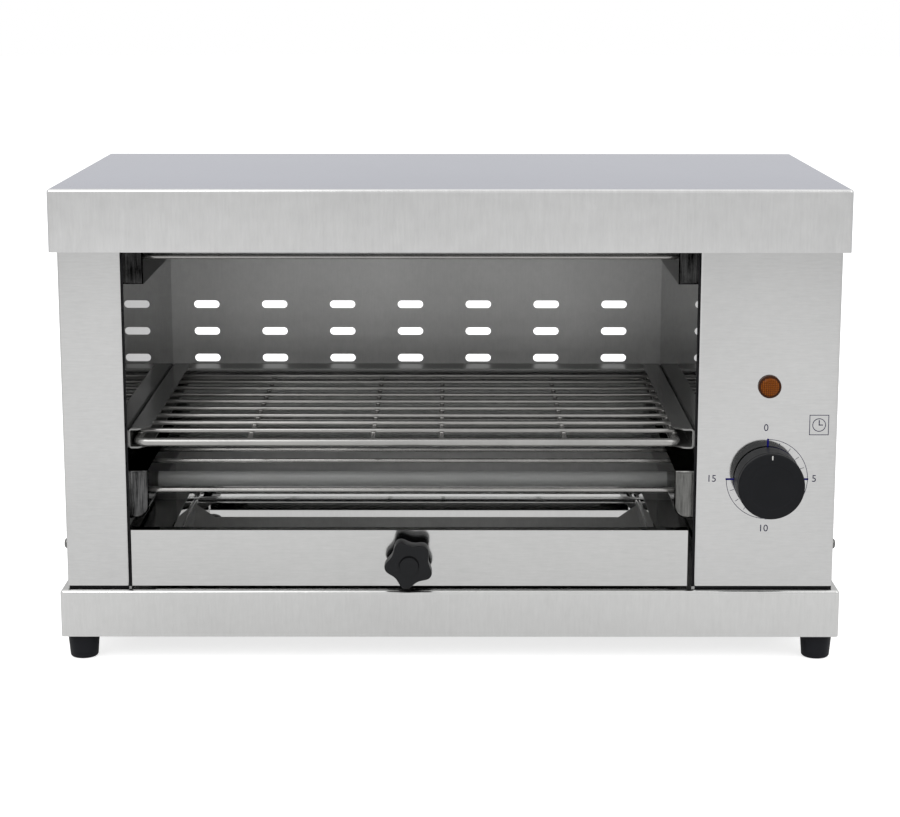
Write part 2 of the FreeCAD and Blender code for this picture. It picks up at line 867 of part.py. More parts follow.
def add_slot(sketch, centre, length, height):
    """Draw a slot with round ends, lying along the sketch's first axis."""
    radius, half = height / 2, (length - height) / 2
    cx, cy = centre[0].value, centre[1].value
    ends = []
    for way in (LOW, HIGH):
        middle = FreeCAD.Vector(cx + way * half.value, cy, 0)
        circle = Part.Circle(middle, FreeCAD.Vector(0, 0, 1), radius.value)
        start = math.pi / 2 if way < 0 else -math.pi / 2
        ends.append(sketch.addGeometry(Part.ArcOfCircle(circle, start, start + math.pi), False))
    run = FreeCAD.Vector(half.value, 0, 0)
    low_middle = FreeCAD.Vector(cx, cy - radius.value, 0)
    high_middle = FreeCAD.Vector(cx, cy + radius.value, 0)
    bottom = sketch.addGeometry(Part.LineSegment(low_middle - run, low_middle + run), False)
    top = sketch.addGeometry(Part.LineSegment(high_middle + run, high_middle - run), False)
    left, right = ends
    for first, first_end, second, second_end in (
        (left, 2, bottom, 1), (bottom, 2, right, 1), (right, 2, top, 1), (top, 2, left, 1)
    ):
        sketch.addConstraint(Sketcher.Constraint("Tangent", first, first_end, second, second_end))
    index = sketch.addConstraint(Sketcher.Constraint("Radius", left, radius.value))
    sketch.setExpression(f"Constraints[{index}]", radius.formula)
    sketch.addConstraint(Sketcher.Constraint("Horizontal", bottom))
    hold_point(sketch, left, 3, (centre[0] - half, centre[1]))
    index = sketch.addConstraint(Sketcher.Constraint("DistanceX", left, 3, right, 3, 2 * half.value))
    sketch.setExpression(f"Constraints[{index}]", (2 * half).formula)


def linear_pattern(body, name, sketch, axis, pitch, count):
    pattern = new("PartDesign::LinearPattern", name)
    body.addObject(pattern)
    pattern.Direction = (sketch, [axis])
    bind(pattern, "Length", pitch * (count - 1))
    pattern.Occurrences = count
    return pattern


# Rails and brackets


def make_rail(name, side, face):
    """A channel rail open towards the cavity, with the front corners of its flanges cut off."""
    far = face - side * s.rail_flange
    x = (face, far) if side < 0 else (far, face)
    front = panel_face + s.rail_inset
    block = box(f"{name}_block", x, (front, wall_face), (rail_bottom, rail_top))
    hollow_face = face - side * s.sheet
    hollow_x = (hollow_face, far + s.sheet) if side < 0 else (far - s.sheet, hollow_face)
    hollow = box(
        f"{name}_hollow", hollow_x, (front - s.sheet, wall_face + s.sheet),
        (rail_bottom + s.sheet, rail_top - s.sheet),
    )
    corner = new("Part::Wedge", f"{name}_corner")
    for prop in ("Xmin", "Ymin", "Zmin", "X2min", "Z2min"):
        bind(corner, prop, 0)
    bind(corner, "Xmax", s.rail_corner)
    bind(corner, "Ymax", s.rail_corner)
    bind(corner, "Zmax", s.rail_height)
    bind(corner, "X2max", 0)
    bind(corner, "Z2max", s.rail_height)
    if side < 0:
        place(corner, (far, front, rail_top), FreeCAD.Rotation(FreeCAD.Vector(0, 1, 0), 180))
    else:
        place(corner, (far, front, rail_bottom))
    sub_part(cut(name, block, [hollow, corner]), name)


def make_ledge():
    """The rack's rear stop: an angle on the rear wall between the two rails."""
    x = (left_face + s.rail_flange, right_face - s.rail_flange)
    leg = box("ledge_leg", x, (wall_face - s.sheet, wall_face), (rail_bottom, rail_top))
    shelf = box("ledge_shelf", x, (wall_face - s.ledge_depth, wall_face), (rail_top - s.sheet, rail_top))
    sub_part(fuse("rear_ledge", [leg, shelf]), "rear_ledge")


def make_bracket(name, side, face, z, round_edge, guard_places, tube_z):
    """A folded channel that carries the heaters' ends, rolled along its edge away from the rack."""
    far = face - side * s.bracket_width
    x = (face, far) if side < 0 else (far, face)
    y = (panel_face + s.bracket_inset, wall_face)
    wall = s.sheet
    block = box(f"{name}_block", x, y, z)
    outer = rounded(f"{name}_outer", block, s.bracket_round, depth_edge_at(far, z[round_edge]))
    inner_far = far + side * wall
    inner_x = (face - wall, inner_far) if side < 0 else (inner_far, face + wall)
    inner_y = (y[0] + wall, y[1] - wall)
    inner_z = (z[0] + wall, z[1] - wall)
    hollow = box(f"{name}_hollow", inner_x, inner_y, inner_z)
    inner = rounded(
        f"{name}_inner", hollow, s.bracket_round - wall, depth_edge_at(inner_far, inner_z[round_edge])
    )
    behind, before = (face + far) / 2, far - side * wall
    hole_x = (behind, before) if side < 0 else (before, behind)
    holes = [
        rod(f"{name}_tube_hole_{i}", "x", (tube_y, tube_z), hole_x, s.tube_radius + s.tube_clearance)
        for i, tube_y in enumerate(tube_ys)
    ]
    holes += [
        rod(f"{name}_guard_hole_{i}", "x", at, hole_x, s.guard_radius + s.guard_clearance)
        for i, at in enumerate(guard_places)
    ]
    sub_part(cut(name, outer, [inner] + holes), name)


def make_brackets():
    low_edge, high_edge = 0, 1
    for side_name, side, face in (("left", LOW, left_face), ("right", HIGH, right_face)):
        make_bracket(
            f"lower_{side_name}_bracket", side, face, lower_bracket, low_edge,
            lower_guard_places, lower_tube_z,
        )
        make_bracket(
            f"upper_{side_name}_bracket", side, face, upper_bracket, high_edge,
            upper_guard_places, upper_tube_z,
        )


def make_guards():
    """Guard wires from bracket to bracket: a row over the lower heaters, two by the upper ones."""
    reach = s.sheet + s.guard_tail
    span = (left_face + s.bracket_width - reach, right_face - s.bracket_width + reach)
    for name, places in (("lower_guard", lower_guard_places), ("upper_guard", upper_guard_places)):
        wires = [rod(f"{name}_{i}", "x", at, span, s.guard_radius) for i, at in enumerate(places)]
        sub_part(group(name, wires), name)


# Quartz heaters


def make_heaters():
    """Four heaters: a quartz tube, the heating coil in it, and a ceramic cap on each end."""
    tube_span = (left_face + s.tube_inset, right_face - s.tube_inset)
    pin_end = s.sheet + s.cap_tail + s.cap_collar + s.cap_nut + s.pin_tail
    pin_span = (left_face - pin_end, right_face + pin_end)
    coil_span = (tube_span[0] + s.cap_grip, tube_span[1] - s.cap_grip)
    for row, z in tube_rows.items():
        for place_name, y in zip(("front", "rear"), tube_ys):
            name = f"{row}_{place_name}"
            glass = rod(f"{name}_glass", "x", (y, z), tube_span, s.tube_radius)
            bore_span = (tube_span[0] - s.sheet, tube_span[1] + s.sheet)
            bore = rod(f"{name}_bore", "x", (y, z), bore_span, s.tube_radius - s.tube_wall)
            sub_part(cut(f"{name}_tube", glass, [bore]), f"{name}_tube")
            coil = rod(f"{name}_coil", "x", (y, z), coil_span, s.element_radius)
            pin = rod(f"{name}_pin", "x", (y, z), pin_span, s.pin_radius)
            sub_part(fuse(f"{name}_element", [coil, pin]), f"{name}_element")
    for side_name, side, edge, tube_end in (
        ("left", LOW, left_edge, tube_span[0]), ("right", HIGH, right_edge, tube_span[1])
    ):
        make_end_caps(side_name, side, edge, tube_end)


def make_end_caps(side_name, side, edge, tube_end):
    """Ceramic caps seated in the liner's holes, and the terminal nuts on their pins."""
    caps, nuts = [], []
    nose = tube_end - side * (s.cap_grip - s.tube_inset)
    collar_end = edge + side * s.cap_collar
    cap_end = collar_end + side * s.cap_tail
    nut_end = cap_end + side * s.cap_nut

    def ordered(first, second):
        return (second, first) if side == LOW else (first, second)

    for i, at in enumerate(tube_places):
        name = f"{side_name}_cap_{i}"
        stem = rod(f"{name}_stem", "x", at, ordered(nose, cap_end), s.cap_radius)
        collar = rod(f"{name}_collar", "x", at, ordered(edge, collar_end), s.cap_collar_radius)
        socket = rod(f"{name}_socket", "x", at, ordered(nose - side * s.sheet, tube_end), s.tube_radius)
        hole_span = past(*ordered(tube_end, cap_end))
        pin_hole = rod(f"{name}_pin_hole", "x", at, hole_span, s.pin_radius)
        caps.append(cut(name, fuse(f"{name}_body", [stem, collar]), [socket, pin_hole]))
        nut_span = ordered(cap_end, nut_end)
        nut = hexagon(f"{name}_nut_block", "x", at, nut_span, s.cap_nut_radius)
        thread = rod(f"{name}_nut_hole", "x", at, past(*nut_span), s.pin_radius)
        nuts.append(cut(f"{name}_nut", nut, [thread]))
    sub_part(group(f"{side_name}_end_caps", caps), f"{side_name}_end_caps")
    sub_part(group(f"{side_name}_terminals", nuts), f"{side_name}_terminals")


# Wire rack


def make_rack():
    """A welded grid: a bent frame wire, cross wires on top of it and stays beneath them."""
    x0 = left_face + s.rack_left_gap + s.rack_frame_radius
    x1 = right_face - s.rack_right_gap - s.rack_frame_radius
    middle_x = (x0 + x1) / 2
    front = panel_face + s.rack_front_gap + s.rack_frame_radius
    back = wall_face - s.rack_back_gap - s.rack_frame_radius
    z = rail_bottom + s.sheet + s.slide_gap + s.rack_frame_radius
    bend = s.rack_bend_radius
    wires = [
        rod("rack_front", "x", (front, z), (x0 + bend, x1 - bend), s.rack_frame_radius),
        rod("rack_back", "x", (back, z), (x0 + bend, x1 - bend), s.rack_frame_radius),
        rod("rack_left", "y", (x0, z), (front + bend, back - bend), s.rack_frame_radius),
        rod("rack_right", "y", (x1, z), (front + bend, back - bend), s.rack_frame_radius),
    ]
    corners = (
        (x0 + bend, front + bend, 180), (x1 - bend, front + bend, 270),
        (x1 - bend, back - bend, 0), (x0 + bend, back - bend, 90),
    )
    for i, (x, y, angle) in enumerate(corners):
        elbow = new("Part::Torus", f"rack_corner_{i}")
        bind(elbow, "Radius1", bend)
        bind(elbow, "Radius2", s.rack_frame_radius)
        elbow.Angle3 = 90
        place(elbow, (x, y, z), FreeCAD.Rotation(FreeCAD.Vector(0, 0, 1), angle))
        wires.append(elbow)
    cross_z = z + s.rack_frame_radius + s.rack_wire_radius - s.weld_sink
    stay_z = cross_z - 2 * s.rack_wire_radius + s.weld_sink
    rack_middle = (front + back) / 2
    for i in range(RACK_CROSS_WIRES):
        y = rack_middle + (i - (RACK_CROSS_WIRES - 1) / 2) * s.rack_wire_pitch
        wires.append(rod(f"rack_cross_{i}", "x", (y, cross_z), (x0, x1), s.rack_wire_radius))
    stays = (-s.rack_outer_stay, -s.rack_inner_stay, s.rack_inner_stay, s.rack_outer_stay)
    for i, offset in enumerate(stays):
        at = (middle_x + offset, stay_z)
        wires.append(rod(f"rack_stay_{i}", "y", at, (front, back), s.rack_wire_radius))
    sub_part(fuse("wire_rack", wires), "wire_rack")


# Crumb tray


def make_tray():
    """A shallow pan, its floor and walls laid edge to edge, behind a front plate with a folded top."""
    floor = base_top + s.slide_gap
    front = panel_face + s.sheet
    x = (left_face + s.tray_side_gap, right_face - s.tray_side_gap)
    y = (front, wall_face - s.tray_back_gap)
    z = (floor + s.sheet, floor + s.tray_wall_height)
    front_z = (z[0], floor + s.tray_front_wall_height)
    inner_x, inner_y = (x[0] + s.sheet, x[1] - s.sheet), (y[0] + s.sheet, y[1] - s.sheet)
    front_wall = box("tray_front_wall", inner_x, (y[0], inner_y[0]), front_z)
    bolt_hole = rod("tray_bolt_hole", "y", star_place(), past(y[0], inner_y[0]), s.star_bolt_radius)
    sub_part(group("crumb_tray", [
        box("tray_floor", x, y, (floor, floor + s.sheet)),
        box("tray_left_wall", (x[0], inner_x[0]), y, z),
        box("tray_right_wall", (inner_x[1], x[1]), y, z),
        box("tray_rear_wall", inner_x, (inner_y[1], y[1]), z),
        cut("tray_front_wall_drilled", front_wall, [bolt_hole]),
    ]), "crumb_tray")
    plate_x = (left_edge + s.tray_left_gap, right_edge - s.tray_right_gap)
    bottom = base_top + s.seam
    top = bottom + s.tray_front_height
    plate = box("tray_plate", plate_x, (panel_face, front), (bottom, top))
    lip = box("tray_lip", plate_x, (panel_face, panel_face + s.tray_front_lip), (top - s.sheet, top))
    hole = rod("plate_bolt_hole", "y", star_place(), past(panel_face, front), s.star_bolt_radius)
    sub_part(cut("tray_front", fuse("tray_front_sheet", [plate, lip]), [hole]), "tray_front")


def star_place():
    """The star knob's axis, across the tray's front plate."""
    plate_middle = (left_edge + s.tray_left_gap + right_edge - s.tray_right_gap) / 2
    return plate_middle, base_top + s.seam + s.tray_front_height / 2


def make_star_knob():
    """A five-lobed screw-on knob with a cap over its bolt."""
    body = new_body("star_knob")
    hub = sketch_on(body, "XY_Plane", "star_hub_outline")
    add_circle(hub, (0, 0), s.star_hub_radius)
    pad(body, hub, "star_hub", s.star_hub)
    core = sketch_on(body, "XY_Plane", "star_core_outline", s.star_hub)
    add_circle(core, (0, 0), s.star_core_radius)
    pad(body, core, "star_core", s.star_head)
    lobe = sketch_on(body, "XY_Plane", "star_lobe_outline", s.star_hub)
    add_circle(lobe, (s.star_radius - s.star_lobe_radius, 0), s.star_lobe_radius)
    lobe_pad = pad(body, lobe, "star_lobe", s.star_head)
    doc.recompute()
    lobes = body.newObject("PartDesign::PolarPattern", "star_lobes")
    lobes.Originals = [lobe_pad]
    lobes.Axis = (core, ["N_Axis"])
    lobes.Angle = 360
    lobes.Occurrences = STAR_LOBES
    body.Tip = lobes
    doc.recompute()
    head_top = s.star_hub.value + s.star_head.value
    rims = [
        f"Edge{number}" for number, edge in enumerate(lobes.Shape.Edges, start=1)
        if abs(edge.BoundBox.ZMin - head_top) < 0.01 and abs(edge.BoundBox.ZMax - head_top) < 0.01
    ]
    soft = body.newObject("PartDesign::Fillet", "star_soft_rim")
    soft.Base = (lobes, rims)
    bind(soft, "Radius", s.star_edge)
    cap = sketch_on(body, "XY_Plane", "star_cap_seat", s.star_hub + s.star_head)
    add_circle(cap, (0, 0), s.star_cap_radius)
    pocket(body, cap, "star_cap_recess", s.star_cap_depth)
    bore = sketch_on(body, "XY_Plane", "star_bore")
    add_circle(bore, (0, 0), s.star_bolt_radius)
    pocket(body, bore, "star_bolt_bore", s.star_bolt_reach, reversed_way=True)
    x, z = star_place()
    spin = FreeCAD.Rotation(FreeCAD.Vector(0, 0, 1), STAR_TURN)
    place(body, (x, panel_face, z), TO_FRONT.multiply(spin))
    sub_part(body, "star_knob")


def make_star_fittings():
    """The knob's bolt, from inside the tray, and the flat cap on its face."""
    at = star_place()
    inside = panel_face + 2 * s.sheet
    shank = rod("star_shank", "y", at, (panel_face - s.star_bolt_reach, inside), s.star_bolt_radius)
    head = rod("star_bolt_head", "y", at, (inside, inside + s.star_bolt_head), s.star_bolt_head_radius)
    sub_part(fuse("knob_bolt", [shank, head]), "knob_bolt")
    face = panel_face - s.star_hub - s.star_head
    cap = rod(
        "knob_cap_disc", "y", at, (face - s.star_cap_proud, face + s.star_cap_depth), s.star_cap_radius
    )
    sub_part(cap, "knob_cap")


# Timer and pilot lamp


def make_timer():
    """A clockwork timer behind the panel, with its threaded bush, nut and turning shaft."""
    at = (control_x, timer_z)
    inside = panel_face + s.sheet
    half = s.timer_size / 2
    case = box(
        "timer_case", (control_x - half, control_x + half), (inside, inside + s.timer_depth),
        (timer_z - half, timer_z + half),
    )
    bush = rod("timer_bush", "y", at, (panel_face - s.bush_reach, inside), s.bush_radius)
    pieces = [case, bush]
    tab_y = inside + s.timer_depth - s.timer_tab_reach
    for i, step in enumerate((-2, -1, 1, 2)):
        x = control_x + step * s.timer_tab_pitch
        pieces.append(box(
            f"timer_tab_{i}", (x - s.timer_tab_width / 2, x + s.timer_tab_width / 2),
            (tab_y - s.sheet / 2, tab_y + s.sheet / 2), (timer_z, timer_z + half + s.timer_tab_reach),
        ))
    bore = rod(
        "timer_bore", "y", at, (panel_face - s.bush_reach - s.sheet, inside + s.shaft_tail),
        s.shaft_radius + s.shaft_clearance,
    )
    sub_part(cut("timer_body", fuse("timer_solid", pieces), [bore]), "timer_body")
    nut_span = (panel_face - s.timer_nut_height, panel_face)
    nut = hexagon("timer_nut_block", "y", at, nut_span, s.timer_nut_radius)
    thread = rod("timer_nut_hole", "y", at, past(*nut_span), s.bush_radius)
    sub_part(cut("timer_nut", nut, [thread]), "timer_nut")
    shaft_tip = panel_face - s.knob_gap - s.knob_bore_depth - s.shaft_grip
    shaft_end = inside + s.shaft_tail - s.slide_gap
    sub_part(rod("timer_shaft_rod", "y", at, (shaft_tip, shaft_end), s.shaft_radius), "timer_shaft")


def make_timer_knob():
    """A plain round knob, hollow behind, with a boss that grips the timer's shaft."""
    tip = s.knob_depth - s.knob_edge
    boss_start = s.knob_boss_gap + s.knob_gap
    outline = [
        (s.shaft_radius, s.knob_bore_depth + s.shaft_grip),
        (s.shaft_radius, boss_start),
        (s.knob_boss_radius, boss_start),
        (s.knob_boss_radius, s.knob_bore_depth),
        (s.knob_bore_radius, s.knob_bore_depth),
        (s.knob_bore_radius, 0),
        (s.knob_radius, 0),
        (s.knob_tip_radius, tip),
        (s.knob_tip_radius - s.knob_edge, s.knob_depth),
        (0, s.knob_depth),
        (0, s.knob_bore_depth + s.shaft_grip),
    ]
    knob = turned("timer_knob", outline, (control_x, panel_face - s.knob_gap, timer_z), TO_FRONT)
    sub_part(knob, "timer_knob")


def make_lamp():
    """A pilot lamp: a body through the panel, a lens in front and a spring clip behind."""
    at = (control_x, lamp_z)
    inside = panel_face + s.sheet
    barrel = rod("lamp_barrel", "y", at, (panel_face, panel_face + s.lamp_body_depth), s.lamp_body_radius)
    bezel = rod("lamp_bezel", "y", at, (panel_face - s.lamp_flange, panel_face), s.lamp_flange_radius)
    seat = rod(
        "lamp_seat", "y", at, (panel_face - s.lamp_flange - s.sheet, panel_face - s.lamp_flange / 2),
        s.lamp_lens_radius,
    )
    sub_part(cut("lamp_body", fuse("lamp_solid", [barrel, bezel]), [seat]), "lamp_body")
    half_flange = s.lamp_flange / 2
    crown = half_flange + s.lamp_lens_height
    outline = [
        (0, 0),
        (s.lamp_lens_radius, 0),
        (s.lamp_lens_radius, half_flange),
        (s.lamp_lens_radius - s.lamp_lens_edge, crown),
        (0, crown),
    ]
    lens = turned("lamp_lens", outline, (control_x, panel_face - half_flange, lamp_z), TO_FRONT)
    sub_part(lens, "lamp_lens")
    ring = rod("lamp_clip_ring", "y", at, (inside, inside + s.lamp_clip_height), s.lamp_clip_radius)
    hole = rod("lamp_clip_hole", "y", at, (panel_face, inside + 2 * s.lamp_clip_height), s.lamp_body_radius)
    sub_part(cut("lamp_clip", ring, [hole]), "lamp_clip")


# Mains entry and wiring


def make_gland():
    """The cable gland in the rear wall, with its locknut inside."""
    x, z = control_x, base_top + s.gland_rise
    grip = s.gland_tail + s.sheet
    outline = [
        (s.gland_bore_radius, 0),
        (s.gland_thread_radius, 0),
        (s.gland_thread_radius, grip),
        (s.gland_flange_radius, grip),
        (s.gland_flange_radius, grip + s.gland_flange),
        (s.gland_nose_radius, grip + s.gland_flange),
        (s.gland_tip_radius, grip + s.gland_flange + s.gland_nose),
        (s.gland_bore_radius, grip + s.gland_flange + s.gland_nose),
    ]
    gland = turned("cable_gland", outline, (x, wall_face - s.gland_tail, z), TO_REAR)
    sub_part(gland, "cable_gland")
    nut = hexagon(
        "gland_nut_block", "y", (x, z), (wall_face - s.gland_nut_height, wall_face), s.gland_flange_radius
    )
    hole = rod(
        "gland_nut_hole", "y", (x, z), past(wall_face - s.gland_nut_height, wall_face), s.gland_thread_radius
    )
    sub_part(cut("gland_locknut", nut, [hole]), "gland_locknut")


def block_posts():
    """Where leads enter the terminal block from above, in a row across the toaster."""
    y = wall_face - s.block_setback - s.block_depth / 2
    first = control_x - s.block_post_pitch * (BLOCK_POSTS - 1) / 2
    return [(first + i * s.block_post_pitch, y) for i in range(BLOCK_POSTS)]


def make_terminal_block():
    """A ceramic block on the base, with a round well for each lead."""
    back = wall_face - s.block_setback
    posts = block_posts()
    block = box(
        "block_case", (posts[0][0] - s.block_end, posts[-1][0] + s.block_end),
        (back - s.block_depth, back), (base_top, base_top + s.block_height),
    )
    well_top = base_top + s.block_height
    well_span = (well_top - s.block_well, well_top + s.sheet)
    wells = [
        rod(f"block_well_{i}", "z", at, well_span, s.lead_radius)
        for i, at in enumerate(posts)
    ]
    sub_part(cut("terminal_block", block, wells), "terminal_block")


def earth_place():
    return half_body - s.earth_inset, back_face - s.earth_setback


def make_earth_stud():
    at = earth_place()
    under = base_top - s.base_sheet
    low, high = under - s.earth_nut_height, base_top + s.earth_nut_height
    stud = rod("earth_rod", "z", at, (low, base_top + s.earth_height), s.earth_radius)
    upper = hexagon("earth_upper_nut", "z", at, (base_top, high), s.earth_nut_radius)
    lower = hexagon("earth_lower_nut", "z", at, (low, under), s.earth_nut_radius)
    sub_part(fuse("earth_stud", [stud, upper, lower]), "earth_stud")


def make_jumpers():
    """On the left, a wire joins the two heaters of each row."""
    pin_end = s.sheet + s.cap_tail + s.cap_collar + s.cap_nut + s.pin_tail
    x = (left_face - pin_end).value
    out = x - s.jumper_reach.value
    wires = []
    for row, z in tube_rows.items():
        front, rear = (y.value for y in tube_ys)
        points = [(x, front, z.value), (out, front, z.value), (out, rear, z.value), (x, rear, z.value)]
        wires.append(lead(f"{row}_jumper", points, s.lead_radius, s.jumper_bend_radius))
    sub_part(group("left_jumpers", wires), "left_jumpers")


def make_harness():
    """The leads in the control compartment, from the heaters, timer and lamp."""
    pin_end = s.sheet + s.cap_tail + s.cap_collar + s.cap_nut + s.pin_tail
    x = (right_face + pin_end).value
    middle = control_x.value
    front, rear = (y.value for y in tube_ys)
    low, high = lower_tube_z.value, upper_tube_z.value
    tab_y = (panel_face + s.sheet + s.timer_depth - s.timer_tab_reach).value
    tab_z = (timer_z + s.timer_size / 2 + s.timer_tab_reach).value
    tab = s.timer_tab_pitch.value
    well_z = (base_top + s.block_height - s.block_well).value
    wells = [(px.value, py.value) for px, py in block_posts()]
    lamp_end = (panel_face + s.lamp_body_depth).value
    lamp_up = lamp_z.value
    pin = s.lamp_body_radius.value / 2
    timer_back = (panel_face + s.sheet + s.timer_depth).value
    drop = s.timer_size.value / 4
    timer_mid = timer_z.value
    routes = {
        "upper_front_lead": [
            (x, front, high), (x + 8, front, high), (x + 8, front, high - 50),
            (middle - 2 * tab, tab_y, tab_z + 30), (middle - 2 * tab, tab_y, tab_z),
        ],
        "lower_front_lead": [
            (x, front, low), (middle + 2 * tab, front, low), (middle + 2 * tab, front, tab_z + 12),
            (middle + 2 * tab, tab_y, tab_z + 22), (middle + 2 * tab, tab_y, tab_z),
        ],
        "upper_rear_lead": [
            (x, rear, high), (x + 12, rear, high), (x + 12, rear, high - 60),
            (wells[0][0], wells[0][1], well_z + 70), (wells[0][0], wells[0][1], well_z),
        ],
        "lower_rear_lead": [
            (x, rear, low), (wells[1][0], rear, low), (wells[1][0], wells[1][1], low - 6),
            (wells[1][0], wells[1][1], well_z),
        ],
        "feed_lead": [
            (middle, timer_back, timer_mid + drop), (middle, timer_back + 40, timer_mid + drop),
            (wells[2][0], wells[2][1] - 70, timer_mid + drop),
            (wells[2][0], wells[2][1], well_z + 55), (wells[2][0], wells[2][1], well_z),
        ],
    }
    earth_x, earth_y = (size.value for size in earth_place())
    earth_z = (base_top + s.earth_height).value
    routes["earth_lead"] = [
        (wells[3][0], wells[3][1], well_z), (wells[3][0], wells[3][1], well_z + 28),
        (earth_x, earth_y, earth_z + 20), (earth_x, earth_y, earth_z),
    ]
    wires = [lead(name, points, s.lead_radius) for name, points in routes.items()]
    for i, way in enumerate((LOW, HIGH)):
        start = middle + way * pin
        points = [
            (start, lamp_end, lamp_up), (start, lamp_end + 10, lamp_up),
            (middle + way * tab, lamp_end + 10, lamp_up - 12), (middle + way * tab, tab_y, tab_z + 6),
            (middle + way * tab, tab_y, tab_z),
        ]
        wires.append(lead(f"lamp_lead_{i}", points, s.lamp_lead_radius))
    sub_part(group("wiring_harness", wires), "wiring_harness")


# Build, check and export


def build():
    make_hood()
    make_hood_studs()
    make_casings()
    make_casing_tabs()
    make_screws()
    make_base_pan()
    make_feet()
    make_liner("left_liner", LOW, left_edge)
    make_liner("right_liner", HIGH, right_edge)
    make_roof()
    make_rear_wall()
    make_rail("left_rail", LOW, left_face)
    make_rail("right_rail", HIGH, right_face)
    make_ledge()
    make_brackets()
    make_guards()
    make_heaters()
    make_rack()
    make_tray()
    make_star_knob()
    make_star_fittings()
    make_timer()
    make_timer_knob()
    make_lamp()
    make_gland()
    make_terminal_block()
    make_earth_stud()
    make_jumpers()
    make_harness()
    doc.recompute()


def check():
    """Stop unless every object of the document and every sub-part's shape is sound."""
    for obj in doc.Objects:
        if "Invalid" in obj.State or "Error" in obj.State:
            raise RuntimeError(f"{obj.Label} did not recompute: {obj.State}")
    for part in sub_parts:
        if part.Shape.isNull() or not part.Shape.isValid():
            raise RuntimeError(f"{part.Label} has no sound shape")
        if not part.Shape.Solids:
            raise RuntimeError(f"{part.Label} holds no solid")


def export():
    os.makedirs("parts", exist_ok=True)
    for part in sub_parts:
        part.Shape.exportStep(f"parts/{part.Label}.step")


build()
check()
export()
print(f"{len(sub_parts)} sub-parts written")
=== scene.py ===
"""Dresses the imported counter-top toaster: its finishes, its fine pieces, the light and the camera.

Metres. +Z is up, the front faces -Y and +X is to the right of someone standing in front.
Each class below builds one sub-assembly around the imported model, which stays as it is.
"""

import logging
import math
from collections.abc import Callable, Iterable, Sequence
from dataclasses import dataclass
from enum import Enum

import bmesh
import bpy
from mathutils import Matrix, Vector

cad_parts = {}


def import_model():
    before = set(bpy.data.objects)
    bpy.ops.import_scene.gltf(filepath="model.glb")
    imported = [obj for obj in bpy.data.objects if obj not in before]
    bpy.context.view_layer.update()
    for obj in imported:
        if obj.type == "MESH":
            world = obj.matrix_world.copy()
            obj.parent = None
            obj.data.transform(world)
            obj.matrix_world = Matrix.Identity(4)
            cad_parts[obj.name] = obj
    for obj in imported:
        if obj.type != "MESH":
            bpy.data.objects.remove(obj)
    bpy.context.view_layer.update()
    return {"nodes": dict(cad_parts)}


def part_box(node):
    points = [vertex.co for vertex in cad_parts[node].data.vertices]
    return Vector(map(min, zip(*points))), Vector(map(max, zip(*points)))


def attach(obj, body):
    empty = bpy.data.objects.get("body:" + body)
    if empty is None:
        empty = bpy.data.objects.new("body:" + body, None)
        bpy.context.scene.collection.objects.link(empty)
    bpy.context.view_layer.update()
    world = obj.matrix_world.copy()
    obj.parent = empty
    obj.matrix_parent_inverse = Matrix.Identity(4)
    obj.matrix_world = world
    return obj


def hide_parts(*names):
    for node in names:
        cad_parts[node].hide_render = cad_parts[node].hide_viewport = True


MM = 0.001
NEAR = 1e-5  # metres: places closer than this count as one
LEVEL = 1e-6  # metres: points closer than this in height count as level
MERGE = 1e-7  # metres: corners closer than this are merged
log = logging.getLogger("toaster")

Colour = tuple[float, float, float]
Point = tuple[float, float, float]
Pair = tuple[float, float]
Piece = bpy.types.Object
Material = bpy.types.Material
Tree = bpy.types.NodeTree
Node = bpy.types.Node
Socket = bpy.types.NodeSocket
PointTest = Callable[[Vector], bool]
PairTest = Callable[[Vector, Vector], bool]

ORIGIN = (0.0, 0.0, 0.0)
WHITE = (1.0, 1.0, 1.0, 1.0)


class Body(Enum):
    """The bodies that pieces ride on, by their names in the record."""

    FRAME = "frame"
    RACK = "rack"
    CRUMB_DRAWER = "crumb_drawer"
    TIMER_DIAL = "timer_dial"


class Slot(Enum):
    """The record's material slots, named for the pieces built here."""

    BRIGHT = "bright_stainless"
    WIRE = "polished_wire"
    PLATED = "plated_steel"
    QUARTZ = "quartz"
    HEATING = "heating_wire"
    KNOB = "knob_black"
    LENS = "lamp_amber"
    GLAND = "gland_black"
    FOOT = "foot_rubber"


class Facing(Enum):
    """Which way the local +Z of a turned or round piece looks once it is placed."""

    FRONT = (math.pi / 2, 0.0, 0.0)
    REAR = (-math.pi / 2, 0.0, 0.0)
    LEFT = (0.0, -math.pi / 2, 0.0)
    RIGHT = (0.0, math.pi / 2, 0.0)
    UP = (0.0, 0.0, 0.0)


class Grain(Enum):
    """How a sheet's brushing, or a painted sheen's streaks, repeat along each axis, in strokes to the
    metre.
    """

    ACROSS_X = (900.0, 70.0, 70.0)
    ACROSS_Y = (70.0, 900.0, 70.0)
    ACROSS_Z = (70.0, 70.0, 900.0)
    # Coarse upright streaks, used with strong tones on the brackets: painted highlight and dark reflection
    # streaks.
    DRAWN_Z = (420.0, 260.0, 26.0)


# Modelling bench


def middle_of(low: Sequence[float], high: Sequence[float]) -> Point:
    """The middle between two corners."""
    return tuple((a + b) / 2 for a, b in zip(low, high))


def near(one: float, other: float) -> bool:
    """Whether two measures are the same within NEAR."""
    return abs(one - other) < NEAR


def both(test: PointTest) -> PairTest:
    """The test of an edge that both of its ends pass a test."""
    return lambda a, b: test(a) and test(b)


